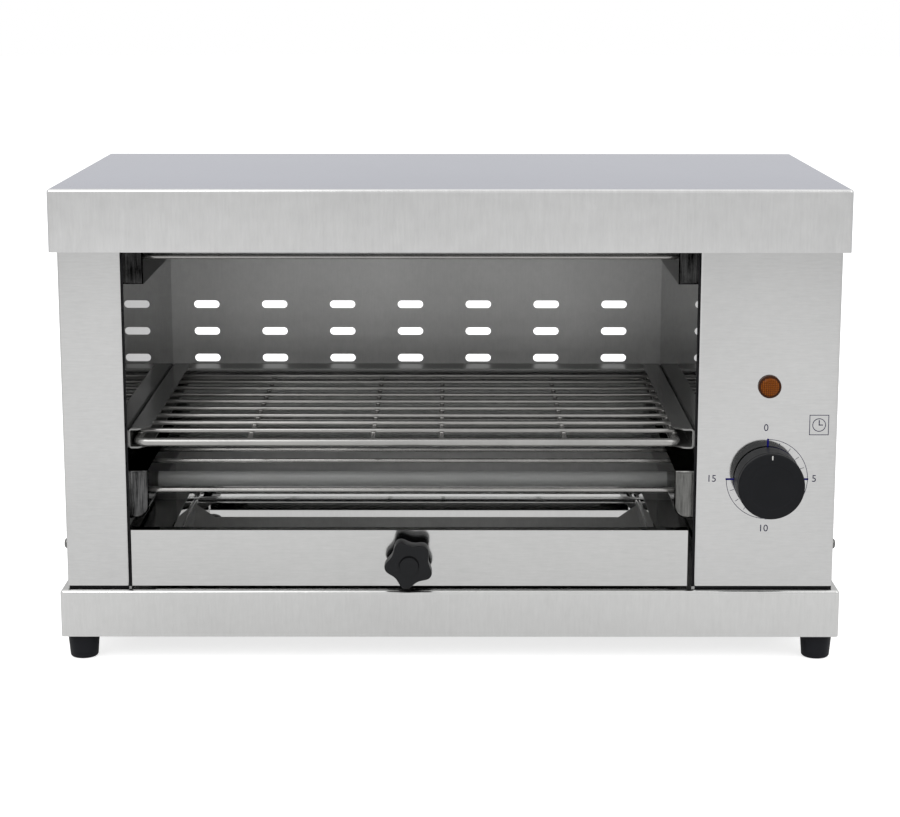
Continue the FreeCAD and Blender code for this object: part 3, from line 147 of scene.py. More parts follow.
class Bench:
    """Modelling steps as done by hand: add a primitive, shape it in edit mode, finish it."""

    @staticmethod
    def take(*pieces: Piece) -> None:
        """Select only these pieces, the first of them active.

        Args:
            pieces: The pieces, or none to clear the selection.
        """
        if bpy.context.mode != "OBJECT":
            bpy.ops.object.mode_set(mode="OBJECT")
        bpy.ops.object.select_all(action="DESELECT")
        for piece in pieces:
            piece.select_set(True)
        if pieces:
            bpy.context.view_layer.objects.active = pieces[0]

    @staticmethod
    def named(name: str) -> Piece:
        """Name the primitive that was just added, and its mesh.

        Args:
            name: The name.

        Returns:
            The primitive.
        """
        piece = bpy.context.view_layer.objects.active
        piece.name = name
        piece.data.name = name
        return piece

    @staticmethod
    def settle(piece: Piece) -> Piece:
        """Move a piece's place, turn and scale into its mesh.

        Args:
            piece: The piece.

        Returns:
            The same piece.
        """
        Bench.take(piece)
        bpy.ops.object.transform_apply(location=True, rotation=True, scale=True)
        return piece

    @staticmethod
    def block(name: str, low: Point, high: Point) -> Piece:
        """Add a block.

        Args:
            name: The piece's name.
            low: Its lowest corner.
            high: Its highest corner.

        Returns:
            The new piece, placed.
        """
        Bench.take()
        bpy.ops.mesh.primitive_cube_add(size=1.0, location=middle_of(low, high))
        piece = Bench.named(name)
        piece.scale = [b - a for a, b in zip(low, high)]
        return Bench.settle(piece)

    @staticmethod
    def drum(
        name: str, radius: float, length: float, at: Point, facing: Facing, sides: int = 32,
        open_ends: bool = False,
    ) -> Piece:
        """Add a cylinder that starts at a point.

        Args:
            name: The piece's name.
            radius: Its radius.
            length: How far it reaches from the point.
            at: The middle of its first end.
            facing: The way that it reaches.
            sides: How many sides it has.
            open_ends: Whether to leave the ends without faces.

        Returns:
            The new piece, placed.
        """
        Bench.take()
        bpy.ops.mesh.primitive_cylinder_add(
            vertices=sides, radius=radius, depth=length, location=ORIGIN,
            end_fill_type="NOTHING" if open_ends else "NGON",
        )
        piece = Bench.named(name)
        piece.location = (0.0, 0.0, length / 2)
        Bench.settle(piece)
        return Bench.stand(piece, at, facing)

    @staticmethod
    def stand(piece: Piece, at: Point, facing: Facing, turn: float = 0.0) -> Piece:
        """Turn a piece that was shaped at the origin, then carry it to its place.

        Args:
            piece: The piece, with its own +Z as its axis.
            at: Where its origin goes.
            facing: The way its +Z looks afterwards.
            turn: A first turn about its own axis, in radians.

        Returns:
            The same piece, placed.
        """
        piece.rotation_euler = (0.0, 0.0, turn)
        Bench.settle(piece)
        piece.rotation_euler = facing.value
        piece.location = at
        return Bench.settle(piece)

    @staticmethod
    def spun(name: str, outline: Sequence[Pair], sides: int = 64) -> Piece:
        """Spin an outline of radius and height round +Z at the origin.

        Args:
            name: The piece's name.
            outline: Points as radius and height, in millimetres, from one end to the other.
            sides: How many steps go round.

        Returns:
            The new piece, closed where the outline starts and ends on the axis.
        """
        Bench.take()
        bpy.ops.mesh.primitive_plane_add(size=MM, location=ORIGIN)
        piece = Bench.named(name)
        Bench.edit(piece)
        bpy.ops.mesh.merge(type="CENTER")
        first = outline[0]
        bpy.ops.transform.translate(value=(first[0] * MM, 0.0, first[1] * MM))
        for last, point in zip(outline, outline[1:]):
            step = ((point[0] - last[0]) * MM, 0.0, (point[1] - last[1]) * MM)
            bpy.ops.mesh.extrude_region_move(TRANSFORM_OT_translate={"value": step})
        bpy.ops.mesh.select_all(action="SELECT")
        bpy.ops.mesh.spin(steps=sides, angle=2 * math.pi, center=ORIGIN, axis=(0.0, 0.0, 1.0))
        Bench.close_up(LEVEL)
        return piece

    @staticmethod
    def edit(piece: Piece, kind: str = "VERT") -> None:
        """Enter edit mode with all of a piece's corners, edges or faces selected.

        Args:
            piece: The piece.
            kind: VERT, EDGE or FACE.
        """
        Bench.take(piece)
        bpy.ops.object.mode_set(mode="EDIT")
        bpy.ops.mesh.select_mode(type=kind)
        bpy.ops.mesh.select_all(action="SELECT")

    @staticmethod
    def close_up(merge: float) -> None:
        """Merge corners closer than a distance, turn all faces outwards and go back to object mode.

        Args:
            merge: The distance, in metres.
        """
        bpy.ops.mesh.select_all(action="SELECT")
        bpy.ops.mesh.remove_doubles(threshold=merge)
        bpy.ops.mesh.normals_make_consistent(inside=False)
        Bench.leave()

    @staticmethod
    def pick_faces(piece: Piece, wanted: PairTest) -> None:
        """Enter edit mode with only the faces whose middle and normal pass the test selected.

        Args:
            piece: The piece.
            wanted: The test of a face's middle and normal.
        """
        Bench.edit(piece, "FACE")
        bpy.ops.mesh.select_all(action="DESELECT")
        mesh = bmesh.from_edit_mesh(piece.data)
        for face in mesh.faces:
            face.select_set(wanted(face.calc_center_median(), face.normal))
        bmesh.update_edit_mesh(piece.data)

    @staticmethod
    def pick_edges(piece: Piece, wanted: PairTest) -> None:
        """Enter edit mode with only the edges whose two ends pass the test selected.

        Args:
            piece: The piece.
            wanted: The test of the places of an edge's two ends.
        """
        Bench.edit(piece, "EDGE")
        bpy.ops.mesh.select_all(action="DESELECT")
        mesh = bmesh.from_edit_mesh(piece.data)
        for edge in mesh.edges:
            edge.select_set(wanted(edge.verts[0].co, edge.verts[1].co))
        bmesh.update_edit_mesh(piece.data)

    @staticmethod
    def leave() -> None:
        """Go back to object mode."""
        bpy.ops.object.mode_set(mode="OBJECT")

    @staticmethod
    def drop_faces(piece: Piece, wanted: PairTest) -> None:
        """Delete the faces whose middle and normal pass the test.

        Args:
            piece: The piece.
            wanted: The test of a face's middle and normal.
        """
        Bench.pick_faces(piece, wanted)
        bpy.ops.mesh.delete(type="FACE")
        Bench.leave()

    @staticmethod
    def bevel_edges(
        piece: Piece, wanted: PairTest, width: float, steps: int,
        clamp: bool = False,
    ) -> None:
        """Bevel some edges.

        Args:
            piece: The piece.
            wanted: The test that an edge's two ends pass.
            width: The bevel's width.
            steps: How many faces go across it.
            clamp: Whether to stop bevels where they would meet.
        """
        Bench.pick_edges(piece, wanted)
        bpy.ops.mesh.bevel(offset=width, segments=steps, affect="EDGES", clamp_overlap=clamp)
        Bench.leave()

    @staticmethod
    def apply(piece: Piece, kind: str, **settings: object) -> Piece:
        """Give a piece a modifier with these settings, and apply it.

        Args:
            piece: The piece.
            kind: The modifier's type.
            settings: Values of the modifier, in the order in which they are set.

        Returns:
            The same piece.
        """
        Bench.take(piece)
        modifier = piece.modifiers.new(kind.lower(), kind)
        for name, value in settings.items():
            setattr(modifier, name, value)
        bpy.ops.object.modifier_apply(modifier=modifier.name)
        return piece

    @staticmethod
    def soften(piece: Piece, width: float, steps: int, limit: float = 30.0) -> Piece:
        """Bevel every edge sharper than a limit in degrees, and shade the piece smooth.

        Args:
            piece: The piece.
            width: The bevel's width.
            steps: How many faces go across it.
            limit: The angle, in degrees.

        Returns:
            The same piece.
        """
        Bench.apply(
            piece, "BEVEL", width=width, segments=steps, limit_method="ANGLE",
            angle_limit=math.radians(limit),
        )
        return Bench.shade(piece)

    @staticmethod
    def thicken(piece: Piece, thickness: float) -> Piece:
        """Make an open surface into sheet, inwards from where it lies."""
        return Bench.apply(piece, "SOLIDIFY", thickness=thickness, offset=-1.0)

    @staticmethod
    def shade(piece: Piece, limit: float = 35.0) -> Piece:
        """Shade a piece smooth across every edge flatter than a limit in degrees.

        Args:
            piece: The piece.
            limit: The angle, in degrees.

        Returns:
            The same piece.
        """
        Bench.take(piece)
        bpy.ops.object.shade_smooth_by_angle(angle=math.radians(limit))
        return piece

    @staticmethod
    def flatten(piece: Piece) -> Piece:
        """Let the largest faces rule the shading, so that sheet stays flat beside its folds."""
        return Bench.apply(piece, "WEIGHTED_NORMAL", weight=100, keep_sharp=True)

    @staticmethod
    def join(name: str, pieces: Sequence[Piece]) -> Piece:
        """Join pieces into one, under a name.

        Args:
            name: The whole's name.
            pieces: The pieces, which are used up.

        Returns:
            The whole.
        """
        Bench.take(*pieces)
        if len(pieces) > 1:
            bpy.ops.object.join()
        return Bench.named(name)

    @staticmethod
    def copy(piece: Piece, name: str, shift: Point) -> Piece:
        """Copy a piece with its own mesh, moved by a shift.

        Args:
            piece: The piece.
            name: The copy's name.
            shift: How far the copy moves.

        Returns:
            The copy.
        """
        Bench.take(piece)
        bpy.ops.object.duplicate(linked=False)
        twin = Bench.named(name)
        twin.location = shift
        return Bench.settle(twin)

    @staticmethod
    def combine(piece: Piece, tool: Piece, how: str) -> Piece:
        """Cut, join or trim a piece by another, which is used up.

        Args:
            piece: The piece that stays.
            tool: The piece that shapes it.
            how: DIFFERENCE, UNION or INTERSECT.

        Returns:
            The shaped piece.
        """
        Bench.apply(piece, "BOOLEAN", operation=how, solver="EXACT", object=tool)
        bpy.data.objects.remove(tool)
        return piece

    @staticmethod
    def round_ends(piece: Piece, width: float) -> Piece:
        """Round the rims at both ends of a rod, where its flat ends meet its side.

        Args:
            piece: The rod.
            width: The width of the rounding.

        Returns:
            The same rod.
        """

        def key(point: Iterable[float]) -> Point:
            """A corner's place, rounded so that it can be looked up."""
            return tuple(round(c, 7) for c in point)

        mesh = piece.data
        ends = [face for face in mesh.polygons if len(face.vertices) > 4]
        rims = {
            frozenset(key(mesh.vertices[i].co) for i in pair) for face in ends for pair in face.edge_keys
        }
        Bench.bevel_edges(piece, lambda a, b: frozenset((key(a), key(b))) in rims, width, 3)
        return Bench.shade(piece)

    @staticmethod
    def fit(
        piece: Piece, body: Body, slot: Slot, material: Material,
        stands_for: Iterable[str] = (),
    ) -> Piece:
        """Hand a finished piece to its body and finish.

        Args:
            piece: The finished piece.
            body: The body that it rides on.
            slot: The record's slot for its finish; not used.
            material: Its material.
            stands_for: CAD nodes that it replaces.

        Returns:
            The same piece.
        """
        piece.data.materials.clear()
        piece.data.materials.append(material)
        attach(piece, body.value)
        for node in stands_for:
            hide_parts(node)
        log.info("%s: %d faces on %s", piece.name, len(piece.data.polygons), body.value)
        return piece


# Node groups and finishes


class Recipe:
    """Adds and joins the nodes of one material or node group."""

    def __init__(self, tree: Tree) -> None:
        """Keep the tree that nodes go into."""
        self.tree = tree

    def add(self, kind: str, **settings: object) -> Node:
        """Add a node and set its options.

        Args:
            kind: The node's type.
            settings: Its options.

        Returns:
            The node.
        """
        node = self.tree.nodes.new(kind)
        for name, value in settings.items():
            setattr(node, name, value)
        return node

    def feed(self, target: Socket, source: object) -> None:
        """Give a socket a link or a fixed value.

        Args:
            target: The socket.
            source: Another socket, or a value.
        """
        if isinstance(source, Socket):
            self.tree.links.new(source, target)
        else:
            target.default_value = source

    def math(self, operation: str, first: object, second: object) -> Socket:
        """One step of arithmetic on two links or numbers.

        Args:
            operation: The math node's operation.
            first: The first link or number.
            second: The second.

        Returns:
            The result.
        """
        node = self.add("ShaderNodeMath", operation=operation)
        self.feed(node.inputs[0], first)
        self.feed(node.inputs[1], second)
        return node.outputs[0]

    def fill(self, node: Node, **values: object) -> None:
        """Give a node's inputs their links or values; a low line in a label stands for a space."""
        for label, value in values.items():
            self.feed(node.inputs[label.replace("_", " ")], value)

    def noise(self, point: object, scale: object, detail: float = 2.0, rough: float = 0.5) -> Socket:
        """Noise between about 0 and 1 at a point.

        Args:
            point: Where it is read.
            scale: How often it repeats in a metre.
            detail: How many finer layers it has.
            rough: How much the finer layers count.

        Returns:
            The noise.
        """
        node = self.add("ShaderNodeTexNoise")
        self.fill(node, Vector=point, Scale=scale, Detail=detail, Roughness=rough)
        return node.outputs["Fac"]

    def swing(self, value: object, amount: object) -> Socket:
        """A noise value turned into a swing about 0, times an amount."""
        return self.math("MULTIPLY", self.math("SUBTRACT", value, 0.5), amount)

    def tinted(self, colour: object, level: object) -> Socket:
        """A colour made lighter or darker by a factor.

        Args:
            colour: A link to the colour.
            level: The factor, as a link or number.

        Returns:
            The new colour.
        """
        node = self.add("ShaderNodeVectorMath", operation="SCALE")
        self.feed(node.inputs[0], colour)
        self.feed(node.inputs["Scale"], level)
        return node.outputs[0]


SKIN_OUTPUTS = (
    ("Colour", "NodeSocketColor"), ("Roughness", "NodeSocketFloat"), ("Height", "NodeSocketFloat"),
)


def start_skin(name: str, inputs: Sequence[tuple[str, str, object]]) -> tuple[Tree, Recipe, Node, Node]:
    """Start a node group that gives a skin's colour, roughness and height.

    Args:
        name: The group's name.
        inputs: Name, socket kind and default of each input.

    Returns:
        The group, its recipe, and its input and output nodes.
    """
    group = bpy.data.node_groups.new(name, "ShaderNodeTree")
    for label, kind, default in inputs:
        socket = group.interface.new_socket(name=label, in_out="INPUT", socket_type=kind)
        if default is not None:
            socket.default_value = default
    for label, kind in SKIN_OUTPUTS:
        group.interface.new_socket(name=label, in_out="OUTPUT", socket_type=kind)
    recipe = Recipe(group)
    return group, recipe, recipe.add("NodeGroupInput"), recipe.add("NodeGroupOutput")


class SkinGroups:
    """The effects that several finishes share, each built once."""

    darkest: float = 0.04
    smoothest: float = 0.008
    coarse_share: float = 0.65
    fine_scale: float = 3.7
    smear_scale: float = 20.0
    moulded_cloud: float = 60.0

    def __init__(self) -> None:
        """Build both groups."""
        self.brushed = self.build_brushed()
        self.moulded = self.build_moulded()

    def build_brushed(self) -> Tree:
        """Straight strokes, slow clouding and faint smears, for sheet and wire.

        Returns:
            The group.
        """
        group, r, start, end = start_skin("brushed_skin", [
            ("Point", "NodeSocketVector", None), ("Strokes", "NodeSocketVector", (12.0, 12.0, 1500.0)),
            ("Colour", "NodeSocketColor", (0.5, 0.5, 0.5, 1.0)), ("Tone", "NodeSocketFloat", 0.05),
            ("Cloud Size", "NodeSocketFloat", 9.0), ("Cloud Tone", "NodeSocketFloat", 0.05),
            ("Roughness", "NodeSocketFloat", 0.2), ("Spread", "NodeSocketFloat", 0.1),
        ])
        given = start.outputs
        stretched = r.add("ShaderNodeVectorMath", operation="MULTIPLY")
        r.feed(stretched.inputs[0], given["Point"])
        r.feed(stretched.inputs[1], given["Strokes"])
        coarse = r.noise(stretched.outputs[0], 1.0, 3.0, 0.6)
        fine = r.noise(stretched.outputs[0], self.fine_scale, 1.0, 0.5)
        strokes = r.math(
            "ADD", r.math("MULTIPLY", coarse, self.coarse_share),
            r.math("MULTIPLY", fine, 1.0 - self.coarse_share),
        )
        cloud = r.noise(given["Point"], given["Cloud Size"], 2.0, 0.55)
        smear = r.noise(given["Point"], r.math("MULTIPLY", given["Cloud Size"], self.smear_scale), 2.0, 0.6)
        level = r.math("ADD", 1.0, r.swing(strokes, r.math("MULTIPLY", given["Tone"], 2.0)))
        level = r.math("ADD", level, r.swing(cloud, r.math("MULTIPLY", given["Cloud Tone"], 2.0)))
        level = r.math("ADD", level, r.swing(smear, given["Cloud Tone"]))
        rough = r.math("ADD", given["Roughness"], r.swing(strokes, given["Spread"]))
        rough = r.math("ADD", rough, r.swing(smear, given["Spread"]))
        r.fill(
            end, Colour=r.tinted(given["Colour"], r.math("MAXIMUM", level, self.darkest)),
            Roughness=r.math("MAXIMUM", rough, self.smoothest), Height=strokes,
        )
        return group

    def build_moulded(self) -> Tree:
        """A fine pebbled skin with slow clouding, for plastic, rubber, ceramic and print.

        Returns:
            The group.
        """
        group, r, start, end = start_skin("moulded_skin", [
            ("Point", "NodeSocketVector", None), ("Colour", "NodeSocketColor", (0.1, 0.1, 0.1, 1.0)),
            ("Tone", "NodeSocketFloat", 0.2), ("Pebble Size", "NodeSocketFloat", 2500.0),
            ("Roughness", "NodeSocketFloat", 0.4), ("Spread", "NodeSocketFloat", 0.1),
        ])
        given = start.outputs
        pebble = r.noise(given["Point"], given["Pebble Size"], 2.0, 0.6)
        cloud = r.noise(given["Point"], self.moulded_cloud, 3.0, 0.6)
        level = r.math("ADD", 1.0, r.swing(pebble, given["Tone"]))
        level = r.math("ADD", level, r.swing(cloud, given["Tone"]))
        rough = r.math("ADD", given["Roughness"], r.swing(cloud, given["Spread"]))
        r.fill(end, Colour=r.tinted(given["Colour"], level), Roughness=rough, Height=pebble)
        return group


def start_material(name: str) -> tuple[Material, Recipe, Node, Node]:
    """Start a material.

    Args:
        name: The material's name.

    Returns:
        The material, its recipe, its Principled shader and its texture coordinates.
    """
    material = bpy.data.materials.new(name)
    material.use_nodes = True
    recipe = Recipe(material.node_tree)
    shader = next(n for n in material.node_tree.nodes if n.type == "BSDF_PRINCIPLED")
    return material, recipe, shader, recipe.add("ShaderNodeTexCoord")


def lay_skin(
    recipe: Recipe, shader: Node, place: Node, group: Tree,
    relief: float = 0.0,
) -> Node:
    """Lay a skin over a shader.

    Args:
        recipe: The material's recipe.
        shader: Its Principled shader.
        place: Its texture coordinates.
        group: The skin's node group.
        relief: How high the skin stands, in metres.

    Returns:
        The skin's node, for its settings.
    """
    skin = recipe.add("ShaderNodeGroup", node_tree=group)
    recipe.fill(skin, Point=place.outputs["Object"])
    recipe.fill(shader, Base_Color=skin.outputs["Colour"], Roughness=skin.outputs["Roughness"])
    if relief:
        bump = recipe.add("ShaderNodeBump")
        recipe.fill(bump, Strength=1.0, Distance=relief, Height=skin.outputs["Height"])
        recipe.fill(shader, Normal=bump.outputs["Normal"])
    return skin


@dataclass(frozen=True)
class SteelFinish:
    """Stainless sheet, plate or wire."""

    name: str
    colour: Colour
    grain: Grain
    roughness: float
    spread: float
    tone: float
    cloud_size: float
    cloud_tone: float
    relief: float
    edge: Colour = (0.8, 0.8, 0.8)
    metal: float = 1.0

    def make(self, groups: SkinGroups) -> Material:
        """Build the material.

        Args:
            groups: The shared skins.

        Returns:
            The material.
        """
        material, r, shader, place = start_material(self.name)
        r.fill(
            lay_skin(r, shader, place, groups.brushed, self.relief), Strokes=self.grain.value,
            Colour=(*self.colour, 1.0), Tone=self.tone, Cloud_Size=self.cloud_size,
            Cloud_Tone=self.cloud_tone, Roughness=self.roughness, Spread=self.spread,
        )
        r.fill(shader, Metallic=self.metal, Specular_Tint=(*self.edge, 1.0))
        return material


@dataclass(frozen=True)
class MouldedFinish:
    """Plastic, rubber, ceramic or printed ink."""

    name: str
    colour: Colour
    roughness: float
    spread: float = 0.1
    tone: float = 0.2
    pebble: float = 2500.0
    relief: float = 0.00002
    specular: float = 0.5

    def make(self, groups: SkinGroups) -> Material:
        """Build the material.

        Args:
            groups: The shared skins.

        Returns:
            The material.
        """
        material, r, shader, place = start_material(self.name)
        r.fill(
            lay_skin(r, shader, place, groups.moulded, self.relief), Colour=(*self.colour, 1.0),
            Tone=self.tone, Pebble_Size=self.pebble, Roughness=self.roughness, Spread=self.spread,
        )
        r.fill(shader, Specular_IOR_Level=self.specular)
        return material


@dataclass(frozen=True)
class GlassFinish:
    """Milky quartz or a tinted lens: light goes through, blurred by the skin."""

    name: str
    colour: Colour
    roughness: float
    transmission: float
    ior: float
    spread: float = 0.1
    tone: float = 0.12
    pebble: float = 700.0
    relief: float = 0.00001

    def make(self, groups: SkinGroups) -> Material:
        """Build the material.

        Args:
            groups: The shared skins.

        Returns:
            The material.
        """
        material, r, shader, place = start_material(self.name)
        r.fill(
            lay_skin(r, shader, place, groups.moulded, self.relief), Colour=(*self.colour, 1.0),
            Tone=self.tone, Pebble_Size=self.pebble, Roughness=self.roughness, Spread=self.spread,
        )
        r.fill(shader, Transmission_Weight=self.transmission, IOR=self.ior)
        return material


@dataclass(frozen=True)
class LensFinish:
    """A tinted lens with a fine moulded grid, lighter on its cells than between them."""

    name: str
    cell: Colour
    line: Colour
    roughness: float
    cells: float
    specular: float
    line_width: float = 0.17
    line_blur: float = 0.5

    def make(self, groups: SkinGroups) -> Material:
        """Build the material.

        Args:
            groups: The shared skins.

        Returns:
            The material.
        """
        material, r, shader, place = start_material(self.name)
        upright = r.add("ShaderNodeMapping")
        r.fill(upright, Rotation=(math.pi / 2, 0.0, 0.0), Vector=place.outputs["Object"])
        cell, line = (*self.cell, 1.0), (*self.line, 1.0)
        grid = r.add("ShaderNodeTexBrick", offset=0.0)
        r.fill(
            grid, Vector=upright.outputs["Vector"], Color1=cell, Color2=cell, Mortar=line, Scale=self.cells,
            Mortar_Size=self.line_width, Mortar_Smooth=self.line_blur, Brick_Width=1.0, Row_Height=1.0,
        )
        skin = lay_skin(r, shader, place, groups.moulded)
        r.fill(skin, Colour=grid.outputs["Color"], Roughness=self.roughness)
        r.fill(shader, Specular_IOR_Level=self.specular)
        return material


FINISHES = (
    # The hood's bluish edge tint is a painted blue reflection, which shows on its top at grazing angles.
    SteelFinish(
        "hood_steel", (0.60, 0.60, 0.598), Grain.ACROSS_X,
        0.16, 0.06, 0.12, 5.0, 0.10, 2e-7, (0.575, 0.585, 0.64),
    ),
    SteelFinish("panel_steel", (0.50, 0.50, 0.497), Grain.ACROSS_Z, 0.08, 0.04, 0.12, 9.0, 0.07, 1e-7),
    SteelFinish(
        "base_steel", (0.55, 0.55, 0.545), Grain.ACROSS_X,
        0.16, 0.03, 0.10, 9.0, 0.07, 1e-7, (0.66, 0.66, 0.66),
    ),
    SteelFinish("drawer_steel", (0.495, 0.495, 0.49), Grain.ACROSS_Z, 0.10, 0.05, 0.12, 9.0, 0.07, 1e-7),
    SteelFinish(
        "rear_wall_steel", (0.40, 0.40, 0.395), Grain.ACROSS_X,
        0.38, 0.12, 0.12, 9.0, 0.26, 2e-7, (0.5, 0.5, 0.5), 0.6,
    ),
    SteelFinish(
        "liner_steel", (0.56, 0.56, 0.56), Grain.ACROSS_Z,
        0.014, 0.01, 0.06, 8.0, 0.16, 0.0, (0.7, 0.7, 0.7),
    ),
    SteelFinish(
        "rail_steel", (0.235, 0.235, 0.23), Grain.ACROSS_X,
        0.22, 0.08, 0.10, 12.0, 0.16, 1e-7, (0.6, 0.6, 0.6), 0.7,
    ),
    SteelFinish("roof_steel", (0.30, 0.30, 0.30), Grain.ACROSS_Y, 0.12, 0.05, 0.06, 8.0, 0.10, 0.0),
    SteelFinish("tray_steel", (0.76, 0.76, 0.755), Grain.ACROSS_X, 0.012, 0.008, 0.05, 9.0, 0.06, 0.0),
    # The brackets are one steel in three copies. Their colours, strong streak tones and low edge tints are
    # painted light: painted shade and dark reflection on the lower left, a lighter painted copy on the
    # lower right, deep painted shade on the upper pair, and painted highlight streaks on all of them.
    SteelFinish(
        "bracket_steel", (0.055, 0.055, 0.055), Grain.DRAWN_Z,
        0.06, 0.05, 4.0, 30.0, 0.6, 1e-7, (0.25, 0.25, 0.25),
    ),
    SteelFinish(
        "plain_bracket_steel", (0.13, 0.13, 0.125), Grain.DRAWN_Z,
        0.10, 0.06, 1.4, 30.0, 0.3, 1e-7, (0.4, 0.4, 0.4),
    ),
    SteelFinish(
        "shaded_bracket_steel", (0.026, 0.026, 0.026), Grain.DRAWN_Z,
        0.05, 0.05, 2.2, 90.0, 1.6, 1e-7, (0.22, 0.22, 0.22),
    ),
    SteelFinish(
        "wire_steel", (0.36, 0.355, 0.345), Grain.ACROSS_X,
        0.20, 0.06, 0.06, 40.0, 0.15, 0.0, (0.5, 0.5, 0.5), 0.7,
    ),
    SteelFinish(
        "guard_steel", (0.33, 0.325, 0.315), Grain.ACROSS_X,
        0.17, 0.06, 0.06, 40.0, 0.25, 0.0, (0.5, 0.5, 0.5), 0.75,
    ),
    SteelFinish("zinc_plate", (0.34, 0.34, 0.33), Grain.ACROSS_Y, 0.22, 0.10, 0.05, 60.0, 0.15, 1e-7),
    SteelFinish(
        "screw_plate", (0.16, 0.16, 0.155), Grain.ACROSS_Y,
        0.16, 0.08, 0.05, 60.0, 0.15, 1e-7, (0.5, 0.5, 0.5),
    ),
    SteelFinish("heating_alloy", (0.30, 0.28, 0.26), Grain.ACROSS_Y, 0.42, 0.15, 0.05, 80.0, 0.15, 1e-7),
    GlassFinish("milky_quartz", (0.70, 0.71, 0.70), 0.38, 0.75, 1.46),
    MouldedFinish("unglazed_ceramic", (0.80, 0.77, 0.70), 0.62, 0.12, 0.10, 1800.0, 0.00003),
    MouldedFinish("knob_face_plastic", (0.0115, 0.012, 0.0135), 0.42, 0.10, 0.35, 3200.0, 0.000008, 0.07),
    MouldedFinish("star_plastic", (0.0105, 0.011, 0.012), 0.36, 0.12, 0.35, 2400.0, 0.00002, 0.14),
    MouldedFinish("lamp_housing_plastic", (0.05, 0.018, 0.008), 0.34, 0.10, 0.2, 3000.0, 0.000005, 0.08),
    MouldedFinish("timer_case_plastic", (0.05, 0.05, 0.05), 0.5, 0.10, 0.2, 2000.0, 0.00001),
    MouldedFinish("gland_plastic", (0.016, 0.016, 0.017), 0.42, 0.10, 0.3, 2000.0, 0.00001, 0.3),
    MouldedFinish("foot_rubber_skin", (0.0075, 0.008, 0.0105), 0.5, 0.12, 0.3, 1600.0, 0.00002, 0.14),
    # Near-black for the strips in the shadow gaps round the casings: painted shade.
    MouldedFinish("gap_shade_black", (0.008, 0.008, 0.009), 0.6, 0.10, 0.3, 1600.0, 0.00001, 0.1),
    MouldedFinish("silicone_skin", (0.30, 0.05, 0.03), 0.48, 0.10, 0.15, 2500.0, 0.00001),
    MouldedFinish("print_ink", (0.008, 0.008, 0.045), 0.5, 0.05, 0.1, 3000.0, 0.0, 0.1),
    MouldedFinish("print_ink_heavy", (0.006, 0.006, 0.15), 0.5, 0.05, 0.1, 3000.0, 0.0, 0.1),
    MouldedFinish("knob_mark_paint", (0.60, 0.60, 0.58), 0.5, 0.05, 0.05, 3000.0, 0.0, 0.3),
    LensFinish("amber_lens_plastic", (0.24, 0.066, 0.005), (0.075, 0.016, 0.002), 0.24, 800.0, 0.10),
)


class Paints:
    """Every finish, made once and found by its name."""

    def __init__(self) -> None:
        """Make the groups and all materials."""
        groups = SkinGroups()
        self.made = {finish.name: finish.make(groups) for finish in FINISHES}
        log.info("%d finishes", len(self.made))

    def __getitem__(self, name: str) -> Material:
        """The material of that name."""
        return self.made[name]


# Sub-assemblies


@dataclass
class CarriedNodes:
    """The CAD nodes whose shape stays, with the finish that each takes."""

    finishes: tuple[tuple[str, tuple[str, ...]], ...] = (
        ("hood_steel", ("hood",)),
        ("panel_steel", ("left_casing", "control_casing")),
        ("base_steel", ("base_pan",)),
        ("drawer_steel", ("tray_front",)),
        ("rear_wall_steel", ("rear_wall", "rear_ledge")),
        ("liner_steel", ("left_liner", "right_liner")),
        ("roof_steel", ("cavity_roof",)),
        ("zinc_plate", (
            "hood_studs", "casing_tabs", "foot_bolts", "left_terminals", "right_terminals", "timer_nut",
            "earth_stud", "knob_bolt", "timer_shaft",
        )),
        ("unglazed_ceramic", ("left_end_caps", "right_end_caps", "terminal_block")),
        ("lamp_housing_plastic", ("lamp_body", "lamp_clip")),
        ("timer_case_plastic", ("timer_body",)),
        ("gland_plastic", ("gland_locknut",)),
        ("star_plastic", ("knob_cap",)),
        ("silicone_skin", ("left_jumpers", "wiring_harness")),
    )

    def dress(self, nodes: dict[str, Piece], paints: Paints) -> None:
        """Give each carried node its finish.

        Args:
            nodes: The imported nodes, by their names.
            paints: Every finish, by its name.
        """
        for finish, names in self.finishes:
            for name in names:
                mesh = nodes[name].data
                mesh.materials.clear()
                mesh.materials.append(paints[finish])
        log.info("%d nodes dressed", sum(len(names) for _, names in self.finishes))


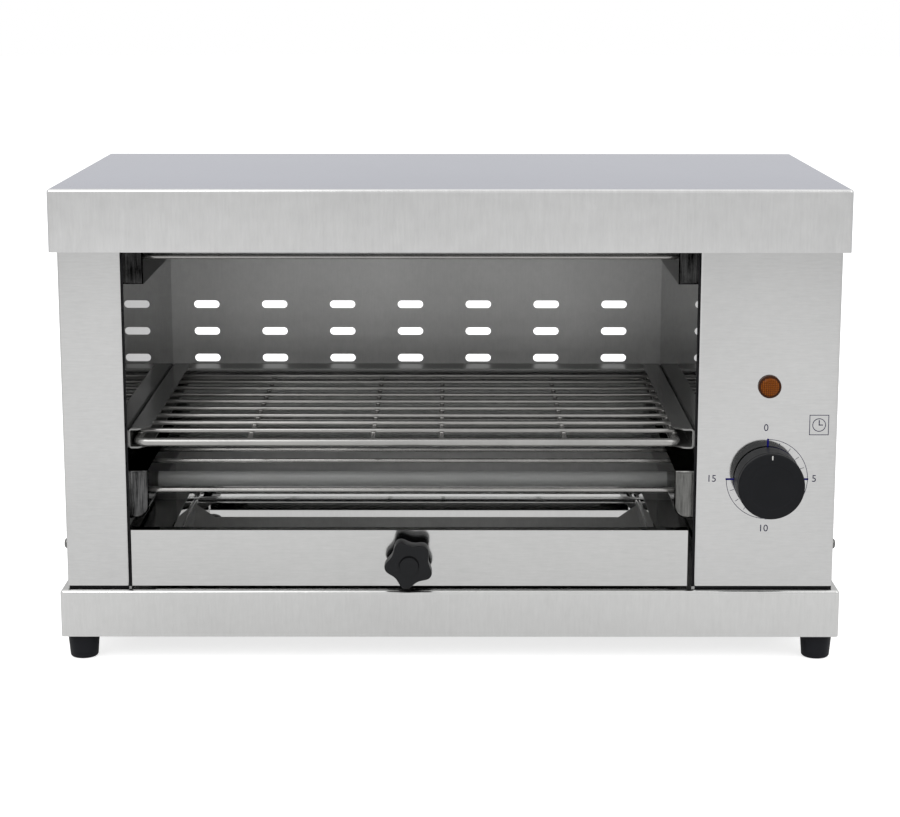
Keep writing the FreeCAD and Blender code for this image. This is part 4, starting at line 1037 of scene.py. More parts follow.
@dataclass
class Screws:
    """The small domed screws on the sides and the back, with cross recesses."""

    head_radius: float = 3.2
    head_height: float = 2.2
    shank_radius: float = 2.0
    recess_width: float = 0.9
    recess_length: float = 3.6
    recess_depth: float = 1.3
    recess_turn: float = math.pi / 8
    reach: float = 6.0
    rear_rows: int = 3

    def model(self, name: str) -> Piece:
        """Turn one screw about +Z, its head's seat at height 0, and cut its recess.

        Args:
            name: The screw's name.

        Returns:
            The screw, at the origin.
        """
        top, r = self.head_height, self.head_radius
        shank, reach = self.shank_radius, self.reach
        screw = Bench.spun(name, [
            (0.0, -reach), (shank - 0.4, -reach), (shank, 0.5 - reach), (shank, 0.0),
            (r, 0.0), (r, top * 0.28), (r * 0.94, top * 0.55), (r * 0.78, top * 0.8),
            (r * 0.52, top * 0.95), (r * 0.25, top), (0.0, top),
        ], 32)
        half = self.recess_length / 2 * MM
        side = self.recess_width / 2 * MM
        low, high = (top - self.recess_depth) * MM, (top + 1.0) * MM
        for turn in (0.0, math.pi / 2):
            blade = Bench.block(f"{name}_blade", (-half, -side, low), (half, side, high))
            Bench.stand(blade, ORIGIN, Facing.UP, turn + self.recess_turn)
            Bench.combine(screw, blade, "DIFFERENCE")
        return Bench.shade(screw)

    def build(self, paints: Paints) -> None:
        """Set the side screws and the rear screws at the CAD screws' places.

        Args:
            paints: Every finish, by its name.
        """
        sides = (Facing.LEFT, Facing.RIGHT)
        for node, facings in (("side_screws", sides), ("rear_screws", (Facing.REAR,))):
            low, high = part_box(node)
            set_of = []
            for facing in facings:
                for i, at in enumerate(self.places(node, facing, low, high)):
                    screw = self.model(f"{node}_{facing.name.lower()}_{i}")
                    set_of.append(Bench.stand(screw, at, facing))
            piece = Bench.join(f"domed_{node}", set_of)
            Bench.fit(piece, Body.FRAME, Slot.PLATED, paints["screw_plate"], (node,))

    def places(self, node: str, facing: Facing, low: Vector, high: Vector) -> list[Point]:
        """Where each screw's head sits, from the CAD screws' box.

        Args:
            node: The CAD node of the screws.
            facing: The way that the heads look.
            low: The node's lowest corner.
            high: The node's highest corner.

        Returns:
            The middle of each head's seat.
        """
        r, h = self.head_radius * MM, self.head_height * MM
        if node == "side_screws":
            x = low.x + h if facing is Facing.LEFT else high.x - h
            return [(x, y, low.z + r) for y in (low.y + r, high.y - r)]
        rise = (high.z - low.z - 2 * r) / (self.rear_rows - 1)
        rows = [low.z + r + i * rise for i in range(self.rear_rows)]
        return [(x, high.y - h, z) for x in (low.x + r, high.x - r) for z in rows]


@dataclass
class Feet:
    """Four rubber feet: a tapered plug with a rounded tip, hollow beneath for its bolt."""

    height: float = 16.0
    top_radius: float = 9.8
    tip_radius: float = 8.6
    edge: float = 1.6
    recess_radius: float = 5.5
    recess: float = 6.0
    bolt_radius: float = 2.5
    lip: float = 2.4
    groove: float = 0.35
    corner: float = 0.3

    def build(self, paints: Paints) -> None:
        """Turn one foot, then set a copy under each corner.

        Args:
            paints: Every finish, by its name.
        """
        top, tip, e, c = self.top_radius, self.tip_radius, self.edge, self.corner
        recess, hollow, bolt = self.recess, self.recess_radius, self.bolt_radius
        slope = (top - tip) / self.height
        outline = [
            (bolt, recess), (hollow - c, recess), (hollow, recess - c), (hollow, c), (hollow + c, 0.0),
        ]
        for step in range(5):
            angle = math.radians(90 * step / 4)
            outline.append((tip - e + e * math.sin(angle), e - e * math.cos(angle)))
        lip = self.height - self.lip
        neck = tip + slope * lip - self.groove
        outline += [
            (tip + slope * (lip - 0.5), lip - 0.5), (neck, lip), (neck, lip + c), (top, lip + 0.7),
            (top, self.height - c), (top - c, self.height), (bolt, self.height), (bolt, recess),
        ]
        for corner in ("front_left", "front_right", "rear_left", "rear_right"):
            node = f"foot_{corner}"
            low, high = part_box(node)
            foot = Bench.shade(Bench.spun(f"rubber_{node}", outline, 64), 40.0)
            x, y, _ = middle_of(low, high)
            Bench.stand(foot, (x, y, low.z), Facing.UP)
            Bench.fit(foot, Body.FRAME, Slot.FOOT, paints["foot_rubber_skin"], (node,))


@dataclass
class GapShadeStrips:
    """Black strips of painted shade that fill the shadow gaps, showing as thin dark lines under the casings
    and beside the cavity.
    """

    base_height: float = 1.5
    base_depth: float = 1.2
    setback: float = 0.35
    end: float = 1.0
    gap_front: float = 0.4
    gap_back: float = 0.98
    overlap: float = 0.05
    soft_edge: float = 0.15

    def build(self, paints: Paints) -> None:
        """Lay a strip under each casing's front face and one down each side of the cavity.

        Args:
            paints: Every finish, by its name.
        """
        strips = []
        for node, liner in (("left_casing", "left_liner"), ("control_casing", "right_liner")):
            low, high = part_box(node)
            end, front = self.end * MM, low.y + self.setback * MM
            strips.append(Bench.block(
                f"{node}_seal", (low.x + end, front, low.z - self.base_height * MM),
                (high.x - end / 2, front + self.base_depth * MM, low.z),
            ))
            liner_low, liner_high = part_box(liner)
            overlap = self.overlap * MM
            is_left = liner == "left_liner"
            left, right = (high.x, liner_high.x + overlap) if is_left else (liner_low.x - overlap, low.x)
            strips.append(Bench.block(
                f"{liner}_seal", (left, low.y + self.gap_front * MM, liner_low.z + end),
                (right, low.y + self.gap_back * MM, liner_high.z),
            ))
        # The black strips stand in for the shade in these gaps: painted shade.
        for strip in strips:
            Bench.soften(strip, self.soft_edge * MM, 2)
        piece = Bench.join("casing_seals", strips)
        Bench.fit(piece, Body.FRAME, Slot.FOOT, paints["gap_shade_black"])


@dataclass
class RolledBrackets:
    """The heater brackets: thin channels, rolled along one edge and drawn round at the front."""

    roll: float = 8.0
    front_round: float = 2.4
    sheet: float = 1.0
    tube_hole: float = 5.3
    drill_reach: float = 2.0
    # Each bracket takes a lit or shaded copy of the same steel: painted light and painted shade.
    finishes: tuple[tuple[str, str, str], ...] = (
        ("lower", "left", "bracket_steel"), ("lower", "right", "plain_bracket_steel"),
        ("upper", "left", "shaded_bracket_steel"), ("upper", "right", "shaded_bracket_steel"),
    )

    def build(self, paints: Paints) -> None:
        """Fold each bracket from a block and drill it for its tubes.

        Args:
            paints: Every finish, by its name.
        """
        for row, side, finish in self.finishes:
            self.fold(row, side, paints[finish])

    def fold(self, row: str, side: str, material: Material) -> None:
        """Make one bracket.

        Args:
            row: Lower or upper; the roll is below on the lower one and above on the upper one.
            side: Left or right.
            material: Its finish.
        """
        node = f"{row}_{side}_bracket"
        low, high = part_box(node)
        wall, face = (low.x, high.x) if side == "left" else (high.x, low.x)
        rolled = low.z if row == "lower" else high.z
        piece = Bench.block(f"rolled_{node}", tuple(low), tuple(high))
        Bench.drop_faces(piece, lambda middle, normal: near(middle.x, wall))
        Bench.bevel_edges(piece, both(lambda p: near(p.x, face) and near(p.z, rolled)), self.roll * MM, 10)
        at_front = both(lambda p: near(p.y, low.y))
        Bench.bevel_edges(
            piece, lambda a, b: at_front(a, b) and not (near(a.x, wall) and near(b.x, wall)),
            self.front_round * MM, 5, clamp=True,
        )
        Bench.thicken(piece, self.sheet * MM)
        reach = self.drill_reach * MM
        for place in ("front", "rear"):
            _, y, z = middle_of(*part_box(f"{row}_{place}_tube"))
            at = (face - reach, y, z)
            drill = Bench.drum("tube_drill", self.tube_hole * MM, 2 * reach, at, Facing.RIGHT)
            Bench.combine(piece, drill, "DIFFERENCE")
        Bench.flatten(Bench.shade(piece, 50.0))
        Bench.fit(piece, Body.FRAME, Slot.BRIGHT, material, (node,))


@dataclass
class FoldedRails:
    """The rack's rails: channels open towards the cavity, with round folds and cut front corners."""

    sheet: float = 1.0
    fold: float = 1.9
    corner: float = 7.0

    def build(self, paints: Paints) -> None:
        """Fold both rails at the places of the CAD ones.

        Args:
            paints: Every finish, by its name.
        """
        for side in ("left", "right"):
            self.channel(side, paints["rail_steel"])

    def channel(self, side: str, material: Material) -> None:
        """Make one rail.

        Args:
            side: Left or right.
            material: Its finish.
        """
        node = f"{side}_rail"
        low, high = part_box(node)
        wall, tip = (low.x, high.x) if side == "left" else (high.x, low.x)
        piece = Bench.block(f"folded_{node}", tuple(low), tuple(high))
        Bench.bevel_edges(piece, both(lambda p: near(p.x, tip) and near(p.y, low.y)), self.corner * MM, 1)
        Bench.drop_faces(piece, lambda middle, normal: abs(normal.z) < 0.5 and not near(middle.x, wall))
        on_wall = both(lambda p: near(p.x, wall))
        Bench.bevel_edges(piece, lambda a, b: on_wall(a, b) and abs(a.y - b.y) > MM, self.fold * MM, 6)
        Bench.thicken(piece, self.sheet * MM)
        Bench.flatten(Bench.shade(piece, 50.0))
        Bench.fit(piece, Body.FRAME, Slot.BRIGHT, material, (node,))


@dataclass
class FoldedTray:
    """The crumb tray's pan: one bright sheet, folded up on four sides, with cut rear corners."""

    sheet: float = 0.8
    fold: float = 2.8
    side_wall: Pair = (7.5, 7.0)
    side_cut: float = 15.0
    rear_wall: Pair = (3.4, 9.8)
    rear_cut: float = 14.0
    rear_lean: float = 0.6
    bolt_hole: float = 2.6
    drill_reach: float = 2.0

    def build(self, paints: Paints) -> None:
        """Fold the pan up from its floor, wall by wall, and drill its front wall.

        Args:
            paints: Every finish, by its name.
        """
        low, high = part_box("crumb_tray")
        x0, x1, y0, y1, z = low.x, high.x, low.y, high.y, low.z
        middle_x = (x0 + x1) / 2
        Bench.take()
        bpy.ops.mesh.primitive_plane_add(size=1.0, location=(middle_x, (y0 + y1) / 2, z))
        tray = Bench.named("folded_tray")
        tray.scale = (x1 - x0, y1 - y0, 1.0)
        Bench.settle(tray)
        rear_shrink = (1.0 - 2 * self.rear_cut * MM / (x1 - x0), 1.0, 1.0)
        side_shrink = (1.0, 1.0 - self.side_cut * MM / (y1 - y0), 1.0)
        for wanted, steps, lean, shrink, centre in (
            (lambda p: p.y > y1 - NEAR, self.rear_wall, self.rear_lean, rear_shrink, (middle_x, y1, z)),
            (lambda p: p.x < x0 + NEAR, self.side_wall, 0.0, side_shrink, (x0, y0, z)),
            (lambda p: p.x > x1 - NEAR, self.side_wall, 0.0, side_shrink, (x1, y0, z)),
        ):
            Bench.pick_edges(tray, both(lambda p: wanted(p) and abs(p.z - z) < LEVEL))
            for rise in steps:
                shift = (0.0, -lean * rise / sum(steps) * MM, rise * MM)
                bpy.ops.mesh.extrude_region_move(TRANSFORM_OT_translate={"value": shift})
            bpy.ops.transform.resize(value=shrink, center_override=centre)
            Bench.leave()
        Bench.pick_edges(tray, both(lambda p: p.y < y0 + NEAR and abs(p.z - z) < LEVEL))
        bpy.ops.mesh.extrude_region_move(TRANSFORM_OT_translate={"value": (0.0, 0.0, high.z - z)})
        bpy.ops.mesh.select_all(action="SELECT")
        bpy.ops.mesh.normals_make_consistent(inside=False)
        Bench.leave()
        Bench.bevel_edges(tray, both(lambda p: abs(p.z - z) < LEVEL), self.fold * MM, 8)
        Bench.thicken(tray, self.sheet * MM)
        x, _, bolt_z = middle_of(*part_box("knob_bolt"))
        at = (x, y0 - self.drill_reach * MM, bolt_z)
        reach = 2.5 * self.drill_reach * MM
        drill = Bench.drum("bolt_drill", self.bolt_hole * MM, reach, at, Facing.REAR)
        Bench.combine(tray, drill, "DIFFERENCE")
        Bench.flatten(Bench.shade(tray, 40.0))
        Bench.fit(tray, Body.CRUMB_DRAWER, Slot.BRIGHT, paints["tray_steel"], ("crumb_tray",))


@dataclass
class WireRack:
    """The welded rack: a bent frame wire, cross wires on top of it and stays beneath them."""

    frame_radius: float = 2.5
    bend: float = 7.0
    wire_radius: float = 1.5
    pitch: float = 23.0
    cross_wires: int = 9
    stays: tuple[float, ...] = (-96.0, -21.0, 21.0, 96.0)
    end_round: float = 0.6
    weld_sink: float = 0.3
    weld_radius: float = 1.35
    weld_shape: Point = (1.35, 1.35, 0.75)

    def build(self, paints: Paints) -> None:
        """Bend the frame wire, lay the wires and add a weld at every crossing.

        Args:
            paints: Every finish, by its name.
        """
        low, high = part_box("wire_rack")
        fr, wr = self.frame_radius * MM, self.wire_radius * MM
        x0, x1, y0, y1 = low.x + fr, high.x - fr, low.y + fr, high.y - fr
        z = low.z + fr
        cross_z = high.z - wr
        stay_z = cross_z - 2 * wr + self.weld_sink * MM
        middle_x, middle_y, _ = middle_of((x0, y0, z), (x1, y1, z))
        wires = [self.bent_frame((x0, y0), (x1, y1), z)]
        first = middle_y - self.pitch * MM * (self.cross_wires - 1) / 2
        rows = [first + i * self.pitch * MM for i in range(self.cross_wires)]
        cross = Bench.drum("rack_cross", wr, x1 - x0, (x0, rows[0], cross_z), Facing.RIGHT, 16)
        Bench.round_ends(cross, self.end_round * MM)
        wires += [Bench.copy(cross, "rack_cross", (0.0, y - rows[0], 0.0)) for y in rows[1:]]
        wires.append(cross)
        columns = [middle_x + offset * MM for offset in self.stays]
        stay = Bench.drum("rack_stay", wr, y1 - y0, (columns[0], y0, stay_z), Facing.REAR, 16)
        Bench.round_ends(stay, self.end_round * MM)
        wires += [Bench.copy(stay, "rack_stay", (x - columns[0], 0.0, 0.0)) for x in columns[1:]]
        wires.append(stay)
        wires += self.welds(rows, (*columns, x0, x1), cross_z)
        rack = Bench.shade(Bench.join("welded_rack", wires), 50.0)
        Bench.fit(rack, Body.RACK, Slot.WIRE, paints["wire_steel"], ("wire_rack",))

    def bent_frame(self, low: Pair, high: Pair, z: float) -> Piece:
        """Bend the frame wire round a plane's rounded edge.

        Args:
            low: The left front corner of the wire's middle line.
            high: The right rear corner of it.
            z: The line's height.

        Returns:
            The closed frame wire.
        """
        Bench.take()
        bpy.ops.mesh.primitive_plane_add(size=1.0, location=middle_of((*low, z), (*high, z)))
        loop = Bench.named("rack_frame")
        loop.scale = (high[0] - low[0], high[1] - low[1], 1.0)
        Bench.settle(loop)
        Bench.edit(loop)
        bpy.ops.mesh.bevel(offset=self.bend * MM, segments=8, affect="VERTICES")
        bpy.ops.mesh.select_all(action="SELECT")
        bpy.ops.mesh.delete(type="ONLY_FACE")
        Bench.leave()
        bpy.ops.object.convert(target="CURVE")
        wire = bpy.context.view_layer.objects.active
        wire.data.bevel_depth = self.frame_radius * MM
        wire.data.bevel_resolution = 5
        bpy.ops.object.convert(target="MESH")
        return Bench.shade(Bench.settle(Bench.named("rack_frame")), 60.0)

    def welds(self, rows: Sequence[float], columns: Sequence[float], cross_z: float) -> list[Piece]:
        """Small flattened beads where wires cross.

        Args:
            rows: The y of each cross wire.
            columns: The x of each stay and of the frame's two side wires.
            cross_z: The height of the cross wires.

        Returns:
            The beads.
        """
        Bench.take()
        bpy.ops.mesh.primitive_uv_sphere_add(segments=10, ring_count=6, radius=self.weld_radius * MM)
        bead = Bench.named("rack_weld")
        Bench.edit(bead)
        bpy.ops.transform.resize(value=self.weld_shape)
        Bench.leave()
        z = cross_z - (self.wire_radius * MM - self.weld_sink * MM / 2)
        beads = [Bench.copy(bead, "rack_weld", (x, y, z)) for y in rows for x in columns]
        bpy.data.objects.remove(bead)
        return beads


@dataclass
class GuardWires:
    """The straight wires over the lower tubes and under the upper ones, with rounded ends."""

    radius: float = 1.5
    lower_front: Pair = (-95.75, 102.5)
    lower_row: tuple[float, ...] = (-60.75, -28.75, 3.25, 35.25, 67.25)
    lower_row_height: float = 113.0
    upper: tuple[Pair, ...] = ((-95.75, 247.0), (95.25, 247.0))
    end_round: float = 0.8

    def build(self, paints: Paints) -> None:
        """Lay each wire between the brackets.

        Args:
            paints: Every finish, by its name.
        """
        lower = [self.lower_front] + [(y, self.lower_row_height) for y in self.lower_row]
        for node, places in (("lower_guard", lower), ("upper_guard", self.upper)):
            low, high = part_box(node)
            wires = []
            for y, z in places:
                at = (low.x, y * MM, z * MM)
                wire = Bench.drum(f"{node}_wire", self.radius * MM, high.x - low.x, at, Facing.RIGHT, 20)
                wires.append(Bench.round_ends(wire, self.end_round * MM))
            piece = Bench.join(f"{node}_wires", wires)
            Bench.fit(piece, Body.FRAME, Slot.WIRE, paints["guard_steel"], (node,))


@dataclass
class Heaters:
    """Quartz tubes, each with its wound heating wire and pins."""

    wall: float = 1.0
    rim_round: float = 0.3
    coil_radius: float = 2.6
    coil_wire: float = 0.36
    coil_pitch: float = 2.4
    coil_steps: int = 14
    pin_radius: float = 1.5
    pin_length: float = 34.0
    pin_round: float = 0.4

    def build(self, paints: Paints) -> None:
        """Make each tube and its coil at the place of the CAD ones.

        Args:
            paints: Every finish, by its name.
        """
        for row in ("lower", "upper"):
            for side in ("front", "rear"):
                self.tube(f"{row}_{side}", paints)
                self.coil(f"{row}_{side}", paints)

    def tube(self, place: str, paints: Paints) -> None:
        """Draw one tube, with flame-rounded ends.

        Args:
            place: The tube's row and side, as in its node's name.
            paints: Every finish, by its name.
        """
        low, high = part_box(f"{place}_tube")
        radius, length = (high.z - low.z) / 2, high.x - low.x
        _, y, z = middle_of(low, high)
        tube = Bench.drum(
            f"{place}_quartz_tube", radius, length, (low.x, y, z), Facing.RIGHT, 32, open_ends=True
        )
        Bench.thicken(tube, self.wall * MM)

        def on_rim(point: Vector) -> bool:
            """Whether a corner lies on the outer rim of one of the tube's ends."""
            at_end = near(point.x, low.x) or near(point.x, high.x)
            return at_end and near(math.hypot(point.y - y, point.z - z), radius)

        round_rim = both(on_rim)
        Bench.bevel_edges(
            tube, lambda a, b: abs(a.x - b.x) < LEVEL and round_rim(a, b), self.rim_round * MM, 2
        )
        material = paints["milky_quartz"]
        Bench.fit(Bench.shade(tube), Body.FRAME, Slot.QUARTZ, material, (f"{place}_tube",))

    def coil(self, place: str, paints: Paints) -> None:
        """Wind one coil by a screw modifier and put a pin into each end of it.

        Args:
            place: The coil's row and side, as in its node's name.
            paints: Every finish, by its name.
        """
        node = f"{place}_element"
        low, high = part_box(node)
        _, *middle = middle_of(low, high)
        pin_length, pitch = self.pin_length * MM, self.coil_pitch * MM
        Bench.take()
        bpy.ops.mesh.primitive_circle_add(
            vertices=6, radius=self.coil_wire * MM, rotation=(math.pi / 2, 0.0, 0.0)
        )
        wire = Bench.named(f"{place}_coil")
        wire.location = (self.coil_radius * MM, 0.0, 0.0)
        Bench.settle(wire)
        Bench.apply(
            wire, "SCREW", axis="Z", angle=2 * math.pi, screw_offset=pitch,
            iterations=int((high.x - low.x - 2 * pin_length) / pitch),
            steps=self.coil_steps, render_steps=self.coil_steps,
        )
        Bench.edit(wire)
        Bench.close_up(MERGE)
        Bench.stand(wire, (low.x + pin_length, *middle), Facing.RIGHT)
        pins = []
        for x, facing in ((low.x, Facing.RIGHT), (high.x, Facing.LEFT)):
            pin = Bench.drum(f"{place}_pin", self.pin_radius * MM, pin_length, (x, *middle), facing, 16)
            pins.append(Bench.round_ends(pin, self.pin_round * MM))
        piece = Bench.shade(Bench.join(f"{place}_heating_coil", [wire, *pins]), 60.0)
        Bench.fit(piece, Body.FRAME, Slot.HEATING, paints["heating_alloy"], (node,))


@dataclass
class StarKnob:
    """The five-lobed grip on the crumb tray's front plate."""

    lobes: int = 5
    reach: float = 14.9
    blank: float = 1.04
    valley: float = 11.9
    dish: float = 1.6
    dish_depth: float = 1.0
    face_ring: float = 1.7
    rim: float = 0.9
    rim_angle: float = 70.0
    hub_radius: float = 7.0
    hub: float = 7.5
    head: float = 13.0
    hub_flare: float = 1.2
    cap_radius: float = 5.7
    cap_depth: float = 1.6
    seat_fit: float = 1.07
    turn: float = 17.0

    def build(self, paints: Paints) -> None:
        """Shape the head from a drum, scallop it, draw out its hub and sink its cap seat.

        Args:
            paints: Every finish, by its name.
        """
        low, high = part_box("star_knob")
        sides = self.lobes * 4
        radius = self.reach * self.blank
        head = Bench.drum("lobed_knob", radius * MM, self.head * MM, ORIGIN, Facing.UP, sides)
        step = 2 * math.pi / sides

        def in_valley(point: Vector) -> bool:
            """Whether a corner belongs to a valley between two lobes."""
            number = round(math.atan2(point.x, point.y) / step) % 4
            return number in (2, 3)

        Bench.pick_edges(head, lambda a, b: abs(a.z - b.z) > MM and in_valley(a))
        deep = self.valley / radius
        bpy.ops.transform.resize(value=(deep, deep, 1.0), center_override=ORIGIN)
        Bench.pick_faces(head, lambda middle, normal: normal.z < -0.9)
        bpy.ops.mesh.inset(thickness=self.dish * MM, depth=self.dish_depth * MM)
        bpy.ops.mesh.inset(thickness=self.dish * MM)
        Bench.leave()
        Bench.pick_faces(head, lambda middle, normal: normal.z > 0.9)
        bpy.ops.mesh.inset(thickness=self.face_ring * MM, depth=0.0)
        Bench.leave()
        Bench.apply(
            head, "BEVEL", width=self.rim * MM, segments=2, limit_method="ANGLE",
            angle_limit=math.radians(self.rim_angle),
        )
        Bench.apply(head, "SUBSURF", levels=3, render_levels=3)
        turn = math.radians(self.turn + 360.0 / sides)
        Bench.stand(head, (0.0, 0.0, self.hub * MM), Facing.UP, turn)
        seat_z = (self.hub + self.head - self.cap_depth) * MM
        seat_radius = self.cap_radius * self.seat_fit * MM
        seat = Bench.drum("cap_seat", seat_radius, 4 * MM, (0.0, 0.0, seat_z), Facing.UP, 48)
        Bench.combine(head, seat, "DIFFERENCE")
        r, flare, top = self.hub_radius, self.hub_radius + self.hub_flare, self.hub + 4.0
        hub = Bench.spun("knob_hub", [
            (0.0, 0.0), (r - 0.5, 0.0), (r, 0.5), (r - 0.2, self.hub + 0.5),
            (flare, self.hub + 2.4), (flare, top), (0.0, top),
        ], 48)
        Bench.combine(head, hub, "UNION")
        x, _, z = middle_of(low, high)
        Bench.stand(head, (x, high.y, z), Facing.FRONT)
        head = Bench.shade(head, 30.0)
        Bench.fit(head, Body.CRUMB_DRAWER, Slot.KNOB, paints["star_plastic"], ("star_knob",))


@dataclass
class TimerKnob:
    """The timer's round knob: a plain drum with a fine rim, a ringed face and a white mark."""

    radius: float = 20.2
    tip_radius: float = 20.0
    depth: float = 20.0
    bore_radius: float = 17.0
    bore_depth: float = 12.0
    boss_radius: float = 6.0
    boss_start: float = 5.5
    shaft_radius: float = 3.0
    shaft_grip: float = 4.0
    mark: Point = (0.75, 2.5, 0.12)
    mark_drop: float = 0.9
    mark_edge: float = 0.05

    def build(self, paints: Paints) -> None:
        """Turn the knob and set the mark on its face.

        Args:
            paints: Every finish, by its name.
        """
        low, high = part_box("timer_knob")
        x, _, z = middle_of(low, high)
        top, tip, rim, floor = self.depth, self.tip_radius, self.radius, self.bore_depth
        shaft, boss, bore = self.shaft_radius, self.boss_radius, self.bore_radius
        knob = Bench.spun("round_timer_knob", [
            (0.0, floor + self.shaft_grip), (shaft, floor + self.shaft_grip), (shaft, self.boss_start),
            (boss - 0.3, self.boss_start), (boss, self.boss_start + 0.3), (boss, floor - 0.4),
            (boss + 0.4, floor), (bore - 0.6, floor), (bore, floor - 0.6), (bore, 0.3), (bore + 0.3, 0.0),
            (rim - 0.35, 0.0), (rim - 0.1, 0.1), (rim, 0.35), (rim - 0.02, 1.6),
            (tip + 0.1, top - 5.2), (tip - 0.3, top - 4.9), (tip - 0.3, top - 4.5), (tip + 0.06, top - 4.2),
            (tip + 0.03, top - 2.4), (tip - 0.02, top - 1.0), (tip - 0.15, top - 0.5),
            (tip - 0.45, top - 0.16), (tip - 0.95, top - 0.02), (tip - 1.6, top),
            (14.4, top), (14.1, top - 0.06), (13.8, top - 0.28), (13.5, top - 0.34), (0.0, top - 0.34),
        ], 128)
        Bench.shade(Bench.stand(knob, (x, high.y, z), Facing.FRONT), 32.0)
        Bench.fit(knob, Body.TIMER_DIAL, Slot.KNOB, paints["knob_face_plastic"], ("timer_knob",))
        half, length, proud = self.mark[0] / 2 * MM, self.mark[1] * MM, self.mark[2] * MM
        face = high.y - top * MM
        top_z = z + (tip - self.mark_drop) * MM
        mark = Bench.block(
            "timer_knob_mark", (x - half, face - proud / 2, top_z - length), (x + half, face + proud, top_z)
        )
        Bench.soften(mark, self.mark_edge * MM, 2)
        Bench.fit(mark, Body.TIMER_DIAL, Slot.KNOB, paints["knob_mark_paint"])


